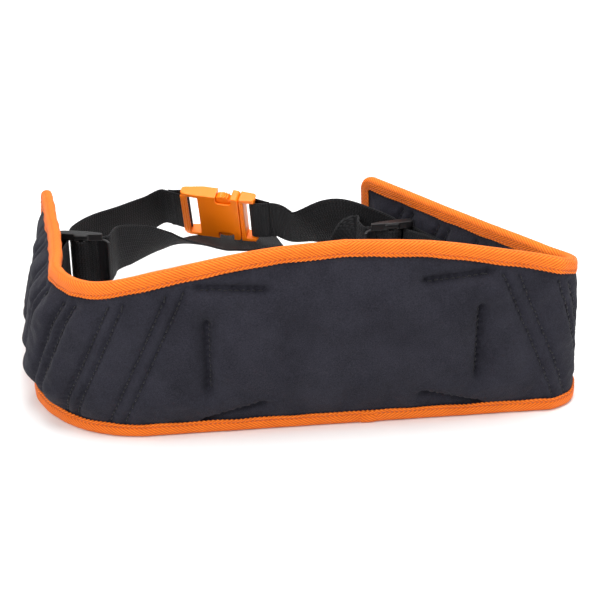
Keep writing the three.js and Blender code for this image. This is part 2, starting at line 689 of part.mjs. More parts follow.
for (const side of ["left", "right"]) {
  add(`binding_${side}`, bindingTape(side, "loop"), "tape");
  add(`lock_tab_${side}`, lockTab(side), "webbing");
  add(`ladder_lock_${side}`, ladderLock(side), "lock");
  add(`strap_${side}_wrap`, lockWrap(side), "webbing");
  add(`strap_${side}_main`, webbingRun(`strap_${side}_main`), "webbing");
  add(`strap_${side}_tail`, webbingRun(`strap_${side}_tail`), "webbing");
  add(`bar_tack_${side}`, barTack(side), "thread");
}
add("strap_left_loop", barLoop(socketBar, -1, loopReach.left), "webbing");
add("strap_right_loop", barLoop(baseBar, 1, loopReach.right), "webbing");

add("buckle_socket", inBuckle(buckleSocket()), "buckle");
add("buckle_base", inBuckle(buckleBase()), "buckle");
add("prong_upper", inBuckle(prong(1)), "buckle");
add("prong_lower", inBuckle(prong(-1)), "buckle");

// The origin is under the middle of the whole belt's box, on the surface that it stands on.
const box = new THREE.Box3().setFromObject(group);
group.position.set(-(box.min.x + box.max.x) / 2, -(box.min.y + box.max.y) / 2, -box.min.z);

export default group;
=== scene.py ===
"""Looks of a padded hip belt with bound edges, webbing straps and a side-release buckle.

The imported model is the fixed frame. Each sub-assembly is a class that holds its sizes, in metres, builds
its meshes in the belt's own coordinates and dresses them with a procedural finish.

Belt coordinates: `along` runs along the lower outer edge from the middle of the back, positive to the
right, `depth` goes inwards from that edge, and `height` goes up from it.
"""

import logging
import math
import random
from dataclasses import dataclass, field
from enum import Enum
from typing import Sequence

import bpy
import numpy as np
from mathutils import Matrix, Vector
from mathutils.bvhtree import BVHTree


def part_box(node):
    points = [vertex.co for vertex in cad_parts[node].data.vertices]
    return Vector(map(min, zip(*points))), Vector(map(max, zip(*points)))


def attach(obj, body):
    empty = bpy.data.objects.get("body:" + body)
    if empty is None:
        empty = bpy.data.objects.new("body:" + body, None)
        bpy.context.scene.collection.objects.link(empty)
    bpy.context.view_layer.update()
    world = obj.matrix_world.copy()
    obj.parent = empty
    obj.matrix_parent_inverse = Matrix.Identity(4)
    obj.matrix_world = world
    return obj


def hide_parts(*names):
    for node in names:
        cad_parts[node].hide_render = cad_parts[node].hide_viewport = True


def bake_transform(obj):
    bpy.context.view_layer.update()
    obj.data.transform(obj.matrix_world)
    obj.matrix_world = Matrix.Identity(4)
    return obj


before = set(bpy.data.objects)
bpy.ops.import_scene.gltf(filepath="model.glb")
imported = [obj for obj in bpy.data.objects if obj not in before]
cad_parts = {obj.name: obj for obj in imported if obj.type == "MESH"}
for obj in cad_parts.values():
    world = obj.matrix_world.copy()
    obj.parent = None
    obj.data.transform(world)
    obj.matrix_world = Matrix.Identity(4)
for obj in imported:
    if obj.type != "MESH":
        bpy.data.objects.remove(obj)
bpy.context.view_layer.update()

log = logging.getLogger("belt")

Colour = tuple[float, float, float]
Place = tuple[float, float]
Run = Sequence[tuple[Sequence[float], Sequence[float]]]


class Side(Enum):
    """Which wing a piece belongs to. The value is the sign of its distance along the belt."""

    LEFT = -1
    RIGHT = 1

    @property
    def word(self) -> str:
        """The side's name as the frame's bodies and nodes spell it."""
        return self.name.lower()


class Face(Enum):
    """The two faces of the pad. The value is the sign of the depth from its middle."""

    OUTER = -1
    INNER = 1


# ---- Mesh helpers -------------------------------------------------------------------------------------


def new_object(name: str, mesh: bpy.types.Mesh) -> bpy.types.Object:
    """Links a mesh into the scene as a smooth-shaded object.

    Args:
        name: The piece's name.
        mesh: Its mesh.

    Returns:
        The new object.
    """
    mesh.polygons.foreach_set("use_smooth", [True] * len(mesh.polygons))
    piece = bpy.data.objects.new(name, mesh)
    bpy.context.scene.collection.objects.link(piece)
    return piece


def loft(name: str, rings: np.ndarray, along: Sequence[float], around: Sequence[float],
         capped: bool = True) -> bpy.types.Object:
    """A closed skin over a row of closed sections, with its UV map in metres.

    Args:
        name: The piece's name.
        rings: Sections as an array of (sections, points, 3).
        along: Each section's distance along the piece.
        around: Each section point's distance around it, with one more value that closes the ring.
        capped: Whether the two ends are filled.

    Returns:
        The new object, with faces that point out.
    """
    count, size = rings.shape[:2]
    faces: list[tuple[int, ...]] = []
    uvs: list[Place] = []
    for i in range(count - 1):
        for j in range(size):
            k = (j + 1) % size
            faces.append((i * size + j, i * size + k, (i + 1) * size + k, (i + 1) * size + j))
            uvs += [(along[i], around[j]), (along[i], around[j + 1]),
                    (along[i + 1], around[j + 1]), (along[i + 1], around[j])]
    if capped:
        faces.append(tuple(reversed(range(size))))
        uvs += [(along[0], around[j]) for j in reversed(range(size))]
        faces.append(tuple((count - 1) * size + j for j in range(size)))
        uvs += [(along[-1], around[j]) for j in range(size)]
    mesh = bpy.data.meshes.new(name)
    mesh.from_pydata([tuple(p) for p in rings.reshape(-1, 3)], [], faces)
    layer = mesh.uv_layers.new(name="UVMap")
    layer.data.foreach_set("uv", np.array(uvs, np.float32).ravel())
    face_outwards(mesh)
    return new_object(name, mesh)


def signed_volume(mesh: bpy.types.Mesh) -> float:
    """Six times the volume a mesh encloses, negative where its faces point in."""
    total = 0.0
    for polygon in mesh.polygons:
        corners = [mesh.vertices[v].co for v in polygon.vertices]
        for a, b in zip(corners[1:], corners[2:]):
            total += corners[0].dot(a.cross(b))
    return total


def face_outwards(mesh: bpy.types.Mesh) -> None:
    """Turns a closed mesh's faces so that they point out."""
    if signed_volume(mesh) < 0:
        mesh.flip_normals()


def settled(piece: bpy.types.Object) -> bpy.types.Object:
    """Applies every modifier on a piece, so that only its mesh is left.

    Args:
        piece: The object with modifiers.

    Returns:
        The same object.
    """
    graph = bpy.context.evaluated_depsgraph_get()
    mesh = bpy.data.meshes.new_from_object(piece.evaluated_get(graph))
    piece.modifiers.clear()
    old = piece.data
    piece.data = mesh
    bpy.data.meshes.remove(old)
    mesh.polygons.foreach_set("use_smooth", [True] * len(mesh.polygons))
    return piece


def joined(name: str, pieces: Sequence[bpy.types.Object]) -> bpy.types.Object:
    """Several pieces as one object with one mesh.

    Args:
        name: The new piece's name.
        pieces: The pieces, whose meshes are in place. They are removed.

    Returns:
        The new object.
    """
    verts: list[Vector] = []
    faces: list[tuple[int, ...]] = []
    for piece in pieces:
        start = len(verts)
        verts += [v.co.copy() for v in piece.data.vertices]
        faces += [tuple(start + v for v in p.vertices) for p in piece.data.polygons]
        bpy.data.objects.remove(piece)
    mesh = bpy.data.meshes.new(name)
    mesh.from_pydata(verts, [], faces)
    return new_object(name, mesh)


def smoothstep(value: float, low: float, high: float) -> float:
    """A smooth rise from 0 at `low` to 1 at `high`."""
    t = min(max((value - low) / (high - low), 0.0), 1.0)
    return t * t * (3 - 2 * t)


def through(points: Sequence[Place], x: float) -> float:
    """The value at x of a smooth line through [x, value] points.

    Args:
        points: The points, in order of x.
        x: Where to read the line.

    Returns:
        The line's value.
    """
    last = len(points) - 1
    i = 0
    while i < last - 1 and x > points[i + 1][0]:
        i += 1

    def slope(k: int) -> float:
        """The line's slope at a point."""
        a, b = points[max(k - 1, 0)], points[min(k + 1, last)]
        return (b[1] - a[1]) / (b[0] - a[0])

    (x0, y0), (x1, y1) = points[i], points[i + 1]
    w = x1 - x0
    t = min(max((x - x0) / w, 0.0), 1.0)
    rise = (y1 - y0) * t * t * (3 - 2 * t)
    return y0 + rise + w * (slope(i) * t * (1 - t) ** 2 - slope(i + 1) * t * t * (1 - t))


def spline(points: Sequence[Vector], t: float) -> Vector:
    """A point on a centripetal Catmull-Rom curve.

    Args:
        points: The curve's points.
        t: How far along it, from 0 to 1, with equal steps between the points.

    Returns:
        The point.
    """
    place = (len(points) - 1) * t
    i = min(int(place), len(points) - 2)
    w = place - i
    p1, p2 = points[i], points[i + 1]
    p0 = points[i - 1] if i > 0 else p1 * 2 - p2
    p3 = points[i + 2] if i + 2 < len(points) else p2 * 2 - p1
    d0, d1, d2 = (max((b - a).length, 1e-6) ** 0.5 for a, b in ((p0, p1), (p1, p2), (p2, p3)))
    m1 = ((p1 - p0) / d0 - (p2 - p0) / (d0 + d1) + (p2 - p1) / d1) * d1
    m2 = ((p2 - p1) / d1 - (p3 - p1) / (d1 + d2) + (p3 - p2) / d2) * d1
    c2 = (p2 - p1) * 3 - m1 * 2 - m2
    c3 = (p1 - p2) * 2 + m1 + m2
    return p1 + m1 * w + c2 * w * w + c3 * w * w * w


# ---- Finishes -----------------------------------------------------------------------------------------


class Shader:
    """Builds one material's nodes."""

    def __init__(self, name: str) -> None:
        """Starts a material with its Principled shader.

        Args:
            name: The material's name.
        """
        self.material = bpy.data.materials.new(name)
        self.material.use_nodes = True
        self.tree = self.material.node_tree
        self.shader = self.tree.nodes["Principled BSDF"]

    def node(self, kind: str, links: dict[str | int, bpy.types.NodeSocket] | None = None,
             values: dict[str | int, object] | None = None, **settings: object) -> bpy.types.Node:
        """Adds a node.

        Args:
            kind: The node's type.
            links: Sockets to connect to its inputs.
            values: Values for its inputs.
            **settings: The node's own properties.

        Returns:
            The node.
        """
        made = self.tree.nodes.new(kind)
        for key, value in settings.items():
            setattr(made, key, value)
        for key, value in (values or {}).items():
            made.inputs[key].default_value = value
        for key, socket in (links or {}).items():
            self.tree.links.new(socket, made.inputs[key])
        return made

    def math(self, operation: str, a: bpy.types.NodeSocket | float,
             b: bpy.types.NodeSocket | float = 0.0) -> bpy.types.NodeSocket:
        """One sum of two values or sockets, as a socket."""
        made = self.tree.nodes.new("ShaderNodeMath")
        made.operation = operation
        for i, value in enumerate((a, b)):
            if isinstance(value, bpy.types.NodeSocket):
                self.tree.links.new(value, made.inputs[i])
            else:
                made.inputs[i].default_value = value
        return made.outputs[0]

    def wave(self, distance: bpy.types.NodeSocket, pitch: float) -> bpy.types.NodeSocket:
        """A sine from 0 to 1 that repeats every `pitch` metres of a distance."""
        sine = self.math("SINE", self.math("MULTIPLY", distance, 2 * math.pi / pitch))
        return self.math("ADD", self.math("MULTIPLY", sine, 0.5), 0.5)

    def flat(self) -> tuple[bpy.types.NodeSocket, bpy.types.NodeSocket]:
        """The two distances of the piece's UV map, in metres."""
        found = self.node("ShaderNodeUVMap", uv_map="UVMap")
        parts = self.node("ShaderNodeSeparateXYZ", {0: found.outputs[0]})
        return parts.outputs[0], parts.outputs[1]

    def noise(self, scale: float, detail: float = 2.0, rough: float = 0.5) -> bpy.types.NodeSocket:
        """Noise over the piece's own space."""
        space = self.node("ShaderNodeTexCoord").outputs["Object"]
        made = self.node("ShaderNodeTexNoise", {"Vector": space},
                         {"Scale": scale, "Detail": detail, "Roughness": rough})
        return made.outputs["Fac"]

    def mix(self, amount: bpy.types.NodeSocket, low: Colour, high: Colour) -> bpy.types.NodeSocket:
        """A colour between two, by an amount from 0 to 1."""
        made = self.node("ShaderNodeMix", {0: amount}, data_type="RGBA")
        made.inputs[6].default_value = (*low, 1.0)
        made.inputs[7].default_value = (*high, 1.0)
        return made.outputs[2]

    def spread(self, value: bpy.types.NodeSocket, low: float, high: float,
               to_low: float = 0.0, to_high: float = 1.0) -> bpy.types.NodeSocket:
        """A value's range stretched onto another, and held inside it."""
        made = self.node("ShaderNodeMapRange", {0: value},
                         {1: low, 2: high, 3: to_low, 4: to_high})
        return made.outputs[0]

    def bump(self, height: bpy.types.NodeSocket, distance: float, strength: float = 1.0,
             under: bpy.types.NodeSocket | None = None) -> bpy.types.NodeSocket:
        """A bump of a height from 0 to 1, in metres, over another bump."""
        links = {"Height": height}
        if under is not None:
            links["Normal"] = under
        made = self.node("ShaderNodeBump", links, {"Strength": strength, "Distance": distance})
        return made.outputs[0]

    def finish(self, colour: bpy.types.NodeSocket, normal: bpy.types.NodeSocket,
               rough: bpy.types.NodeSocket, **constants: float) -> bpy.types.Material:
        """Connects the shader.

        Args:
            colour: The base colour.
            normal: The surface's bumps.
            rough: The roughness.
            **constants: All-over values for other sockets, with underscores for spaces.

        Returns:
            The material.
        """
        self.tree.links.new(colour, self.shader.inputs["Base Color"])
        self.tree.links.new(normal, self.shader.inputs["Normal"])
        self.tree.links.new(rough, self.shader.inputs["Roughness"])
        for key, value in constants.items():
            self.shader.inputs[key.replace("_", " ")].default_value = value
        return self.material


@dataclass(frozen=True)
class WovenFabric:
    """A plain-woven cover fabric with a faint mottle, painted darker where its weave and slubs lie low, as
    painted shade in the gaps between threads.
    """

    name: str
    thread: Colour
    # The colour of the painted shade in the gaps between threads.
    gap: Colour
    pitch: float = 0.00075
    relief: float = 0.00016

    def material(self) -> bpy.types.Material:
        """Builds the material."""
        s = Shader(self.name)
        u, v = s.flat()
        over = s.math("MULTIPLY", s.wave(u, self.pitch), s.wave(v, self.pitch))
        under = s.math("MULTIPLY", s.math("SUBTRACT", 1.0, s.wave(u, self.pitch)),
                       s.math("SUBTRACT", 1.0, s.wave(v, self.pitch)))
        weave = s.math("ADD", over, under)
        slub = s.noise(1100.0, 3.0, 0.65)
        mottle = s.noise(34.0, 4.0, 0.6)
        cloth = s.math("ADD", s.math("MULTIPLY", weave, 0.4), s.math("MULTIPLY", slub, 0.6))
        shade = s.math("ADD", s.math("MULTIPLY", cloth, 0.85), s.math("MULTIPLY", mottle, 0.3))
        # Painted shade: the colour follows the cloth's bump height, darkest in the gaps between threads,
        # plus the cloth's own random mottle.
        colour = s.mix(s.spread(shade, 0.38, 0.78), self.gap, self.thread)
        rough = s.spread(s.noise(60.0, 3.0), 0.3, 0.7, 0.8, 0.95)
        folds = s.bump(s.noise(60.0, 4.0, 0.6), 0.0016, 0.7)
        normal = s.bump(cloth, self.relief, 0.9, folds)
        return s.finish(colour, normal, rough, Sheen_Weight=0.04, Sheen_Roughness=0.4,
                        Specular_IOR_Level=0.12)


@dataclass(frozen=True)
class HerringboneTape:
    """Binding tape with chevron ribs in bands across its width, painted darker in its grooves and at the
    bands' seams as painted shade.
    """

    name: str
    rib: Colour
    groove: Colour
    pitch: float = 0.0031
    band: float = 0.0082
    offset: float = 0.0053
    lean: float = 1.55
    roundness: float = 0.6
    relief: float = 0.0006

    def material(self) -> bpy.types.Material:
        """Builds the material."""
        s = Shader(self.name)
        u, v = s.flat()
        fold = s.math("PINGPONG", s.math("ADD", v, self.offset), self.band)
        chevron = s.math("ADD", u, s.math("MULTIPLY", fold, self.lean))
        ribs = s.math("POWER", s.wave(chevron, self.pitch), self.roundness)
        turn = s.math("ABSOLUTE", s.math("SUBTRACT", fold, self.band / 2))
        seam = s.math("POWER", s.spread(turn, 0.0, self.band / 2), 14.0)
        fuzz = s.noise(1500.0, 3.0, 0.6)
        height = s.math("ADD", s.math("MULTIPLY", ribs, 0.75), s.math("MULTIPLY", fuzz, 0.3))
        height = s.math("SUBTRACT", height, s.math("MULTIPLY", seam, 0.35))
        # Painted shade: the colour follows the ribs' height, darkest in the grooves and at the bands' seams,
        # plus the tape's own random tone.
        shade_and_tone = s.math("ADD", s.math("MULTIPLY", height, 0.8),
                      s.math("MULTIPLY", s.noise(45.0, 3.0), 0.3))
        colour = s.mix(s.spread(shade_and_tone, 0.2, 0.9), self.groove, self.rib)
        rough = s.spread(fuzz, 0.3, 0.7, 0.62, 0.82)
        normal = s.bump(height, self.relief, 1.0)
        return s.finish(colour, normal, rough, Sheen_Weight=0.05, Sheen_Roughness=0.4,
                        Specular_IOR_Level=0.2)


@dataclass(frozen=True)
class RibbedWebbing:
    """Heavy webbing: ribs across its length, cords along it, and firm edges, painted darker in the valleys
    between ribs and cords as painted shade.
    """

    name: str
    crest: Colour
    valley: Colour
    rib: float = 0.0021
    cord: float = 0.0017
    roundness: float = 0.7
    relief: float = 0.0005

    def material(self) -> bpy.types.Material:
        """Builds the material."""
        s = Shader(self.name)
        u, v = s.flat()
        offset = s.math("MULTIPLY", s.wave(v, self.cord * 2), self.rib * 0.35)
        ribs = s.math("POWER", s.wave(s.math("ADD", u, offset), self.rib), self.roundness)
        cords = s.wave(v, self.cord)
        fuzz = s.noise(1700.0, 2.0)
        height = s.math("ADD", s.math("MULTIPLY", ribs, 0.6), s.math("MULTIPLY", cords, 0.3))
        height = s.math("ADD", height, s.math("MULTIPLY", fuzz, 0.18))
        # Painted shade: the colour follows the ribs' and cords' height, darkest in the valleys, plus the
        # webbing's own random tone.
        shade_and_tone = s.math("ADD", s.math("MULTIPLY", height, 0.8),
                      s.math("MULTIPLY", s.noise(70.0, 3.0), 0.3))
        colour = s.mix(s.spread(shade_and_tone, 0.25, 1.05), self.valley, self.crest)
        rough = s.spread(fuzz, 0.3, 0.7, 0.55, 0.75)
        normal = s.bump(height, self.relief, 1.0)
        return s.finish(colour, normal, rough, Sheen_Weight=0.03, Sheen_Roughness=0.35,
                        Specular_IOR_Level=0.22)


@dataclass(frozen=True)
class Moulding:
    """Moulded plastic with a fine spark grain, slight flow marks and rubbed high places."""

    name: str
    base: Colour
    rubbed: Colour
    rough: float
    grain: float = 0.00003
    glow: float = 0.0

    def material(self) -> bpy.types.Material:
        """Builds the material."""
        s = Shader(self.name)
        flow = s.noise(70.0, 3.0, 0.5)
        grain = s.noise(2600.0, 3.0, 0.6)
        edge = s.spread(s.node("ShaderNodeNewGeometry").outputs["Pointiness"], 0.52, 0.6)
        worn = s.math("MULTIPLY", edge, s.spread(s.noise(240.0, 4.0), 0.4, 0.65))
        tint = s.math("ADD", s.math("MULTIPLY", worn, 0.7), s.math("MULTIPLY", flow, 0.25))
        colour = s.mix(tint, self.base, self.rubbed)
        rough = s.spread(grain, 0.3, 0.7, self.rough - 0.05, self.rough + 0.08)
        normal = s.bump(grain, self.grain, 0.8, s.bump(flow, 0.00012, 0.5))
        return s.finish(colour, normal, rough, Specular_IOR_Level=0.32,
                        Subsurface_Weight=self.glow, Subsurface_Scale=0.002)


@dataclass(frozen=True)
class SewingThread:
    """Twisted sewing thread, painted darker in the grooves of its twist as painted shade."""

    name: str
    light: Colour
    dark: Colour

    def material(self) -> bpy.types.Material:
        """Builds the material."""
        s = Shader(self.name)
        space = s.node("ShaderNodeTexCoord").outputs["Object"]
        parts = s.node("ShaderNodeSeparateXYZ", {0: space})
        total = s.math("ADD", s.math("ADD", parts.outputs[0], parts.outputs[1]), parts.outputs[2])
        twist = s.wave(total, 0.0005)
        # Painted shade: the colour follows the twist's height, darkest in its grooves, plus the thread's own
        # random tone.
        colour = s.mix(s.math("ADD", s.math("MULTIPLY", twist, 0.6),
                              s.math("MULTIPLY", s.noise(300.0), 0.4)), self.dark, self.light)
        rough = s.spread(twist, 0.0, 1.0, 0.5, 0.65)
        return s.finish(colour, s.bump(twist, 0.00008, 0.7), rough, Sheen_Weight=0.1,
                        Specular_IOR_Level=0.4)


@dataclass(frozen=True)
class PaleFloor:
    """A matte pale sweep under and behind the belt."""

    name: str = "pale_floor"

    def material(self) -> bpy.types.Material:
        """Builds the material."""
        s = Shader(self.name)
        soft = s.noise(3.0, 2.0)
        colour = s.mix(soft, (0.86, 0.86, 0.86), (0.9, 0.9, 0.9))
        return s.finish(colour, s.bump(soft, 0.0001, 0.1), s.spread(soft, 0.0, 1.0, 0.7, 0.8))


@dataclass
class Finishes:
    """Every finish on the belt, built once."""

    cover: bpy.types.Material = field(init=False)
    tape: bpy.types.Material = field(init=False)
    webbing: bpy.types.Material = field(init=False)
    lock: bpy.types.Material = field(init=False)
    buckle: bpy.types.Material = field(init=False)
    dark_thread: bpy.types.Material = field(init=False)
    tape_thread: bpy.types.Material = field(init=False)

    def __post_init__(self) -> None:
        """Builds the materials."""
        # The cover's second colour is painted shade for the gaps in its weave.
        self.cover = WovenFabric("cover_weave", (0.036, 0.035, 0.048),
                                 (0.0055, 0.0053, 0.008)).material()
        # The tape's second colour is painted shade for its grooves.
        self.tape = HerringboneTape("binding_herringbone", (1.0, 0.225, 0.016),
                                    (0.6, 0.085, 0.004)).material()
        # The webbing's second colour is painted shade for its valleys.
        self.webbing = RibbedWebbing("strap_webbing", (0.018, 0.018, 0.02),
                                     (0.0025, 0.0025, 0.003)).material()
        self.lock = Moulding("lock_plastic", (0.008, 0.008, 0.009), (0.03, 0.03, 0.032), 0.33).material()
        self.buckle = Moulding("buckle_plastic", (1.0, 0.2, 0.002), (1.0, 0.3, 0.012), 0.36,
                               glow=0.06).material()
        # Each thread's second colour is painted shade for the grooves of its twist.
        self.dark_thread = SewingThread("dark_thread", (0.011, 0.011, 0.014),
                                        (0.003, 0.003, 0.004)).material()
        self.tape_thread = SewingThread("tape_thread", (0.8, 0.17, 0.014),
                                        (0.4, 0.055, 0.004)).material()


# ---- The belt's form ----------------------------------------------------------------------------------


@dataclass
class BeltForm:
    """The belt's plan, edges and lean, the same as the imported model's."""

    halves: dict[Side, float] = field(default_factory=lambda: {Side.RIGHT: 0.416, Side.LEFT: 0.404})
    back_run: dict[Side, float] = field(default_factory=lambda: {Side.RIGHT: 0.143, Side.LEFT: 0.132})
    corner_arc: dict[Side, float] = field(default_factory=lambda: {Side.RIGHT: 0.057, Side.LEFT: 0.122})
    corner_turn: dict[Side, float] = field(default_factory=lambda: {Side.RIGHT: 119.0, Side.LEFT: 86.0})
    wing_turn: dict[Side, float] = field(default_factory=lambda: {Side.RIGHT: 4.0, Side.LEFT: 6.0})
    upper_edge: tuple[Place, ...] = ((0.0, 0.138), (0.06, 0.134), (0.12, 0.1225), (0.175, 0.109),
                                     (0.24, 0.1045), (0.406, 0.096))
    leans: dict[Side, tuple[Place, ...]] = field(default_factory=lambda: {
        Side.RIGHT: ((0.0, 0.0), (0.11, 0.0), (0.2, 0.08), (0.3, 0.1), (0.406, 0.06)),
        Side.LEFT: ((0.0, 0.0), (0.11, 0.0), (0.2, 0.12), (0.27, 0.2), (0.33, 0.18), (0.406, 0.1)),
    })
    middle: float = 0.0041
    tip_radius: float = 0.013
    origin: Vector = field(init=False)

    def __post_init__(self) -> None:
        """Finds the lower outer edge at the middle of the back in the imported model."""
        board_low, board_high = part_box("lumbar_board")
        edge_low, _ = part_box("binding_center_lower")
        self.origin = Vector(((board_low.x + board_high.x) / 2, edge_low.y, 0.0))

    def edge_at(self, side: Side, distance: float) -> tuple[float, float, float]:
        """Where the lower outer edge is at a distance from the middle of the back.

        Args:
            side: The side it runs to.
            distance: How far.

        Returns:
            Its place, with x positive on both sides, and its heading in radians.
        """
        x = y = heading = 0.0
        left = distance
        arc = self.corner_arc[side]
        wing = self.halves[side] - self.back_run[side] - arc
        for length, turn in ((self.back_run[side], 0.0), (arc, math.radians(self.corner_turn[side])),
                             (wing, math.radians(self.wing_turn[side]))):
            step = min(left, length)
            bend = turn / length
            if bend == 0:
                x += step
            else:
                x += (math.sin(heading + bend * step) - math.sin(heading)) / bend
                y += (math.cos(heading) - math.cos(heading + bend * step)) / bend
                heading += bend * step
            left -= step
            if left <= 0:
                break
        return x, y, heading

    def half(self, along: float) -> float:
        """How far the tip on a place's side is from the middle of the back."""
        return self.halves[Side.LEFT if along < 0 else Side.RIGHT]

    def upper(self, along: float) -> float:
        """The height of the upper edge."""
        return through(self.upper_edge, abs(along))

    def point(self, along: float, height: float, depth: float) -> Vector:
        """A place in belt coordinates as a point in the row frame."""
        side = Side.LEFT if along < 0 else Side.RIGHT
        x, y, heading = self.edge_at(side, abs(along))
        inwards = depth + height * self.lean(along)
        px = x - math.sin(heading) * inwards
        py = y + math.cos(heading) * inwards
        return self.origin + Vector((side.value * px, py, height))

    def lean(self, along: float) -> float:
        """How far the pad leans inwards for each metre of height."""
        return through(self.leans[Side.LEFT if along < 0 else Side.RIGHT], abs(along))

    def flex(self, side: Side) -> float:
        """How far along the belt a wing bends from the lumbar pad."""
        return self.back_run[side] + self.corner_arc[side] / 2

    def flex_line(self, side: Side, reach: float = 0.008) -> tuple[Vector, Vector]:
        """The start and end of the bend between the lumbar pad and a wing, for pieces that cross it."""
        here = side.value * self.flex(side)
        at = self.point(here, 0.06, self.middle)
        ahead = self.point(here + side.value * 0.002, 0.06, self.middle) - at
        ahead.z = 0.0
        ahead.normalize()
        return at - ahead * reach, at + ahead * reach

    def trim(self, from_tip: float, radius: float) -> float:
        """How much a rounded tip takes off the lower and upper edges."""
        if from_tip >= radius:
            return 0.0
        return radius - math.sqrt(max(radius**2 - (radius - from_tip) ** 2, 0.0))


# ---- Padded body --------------------------------------------------------------------------------------


@dataclass
class Quilting:
    """The double-stitched lines and tacks that hold the padding, in belt coordinates."""

    pair_tops: tuple[float, ...] = (0.105, 0.145, 0.185, 0.226, 0.268, 0.31, 0.352)
    pair_gap: float = 0.0115
    sweep: float = 0.038
    top_inset: float = 0.016
    foot: float = 0.012
    insert: float = 0.09

    def lines(self, form: BeltForm) -> list[tuple[Place, Place, float, int]]:
        """Every stitched line.

        Args:
            form: The belt's form.

        Returns:
            Lines as (start, end, how deep the padding is drawn in, as a share of its thickness, which
            side of the line lies lower, or 0 where both lie level).
        """
        found: list[tuple[Place, Place, float, int]] = []
        for side in Side:
            for top in self.pair_tops:
                for gap in (0.0, self.pair_gap):
                    a = top + gap
                    height = form.upper(a) - self.top_inset
                    b = a + self.sweep * height / 0.096
                    if b < form.halves[side] - 0.014:
                        found.append(((side.value * a, height), (side.value * b, self.foot), 0.5, 0))
            s = side.value
            found += [
                ((s * 0.09, 0.086), (s * 0.09, 0.036), 0.9, -s),
                ((s * 0.096, 0.1105), (s * 0.054, 0.107), 0.9, s),
                ((s * 0.094, 0.012), (s * 0.055, 0.0235), 0.85, -s),
            ]
        return found


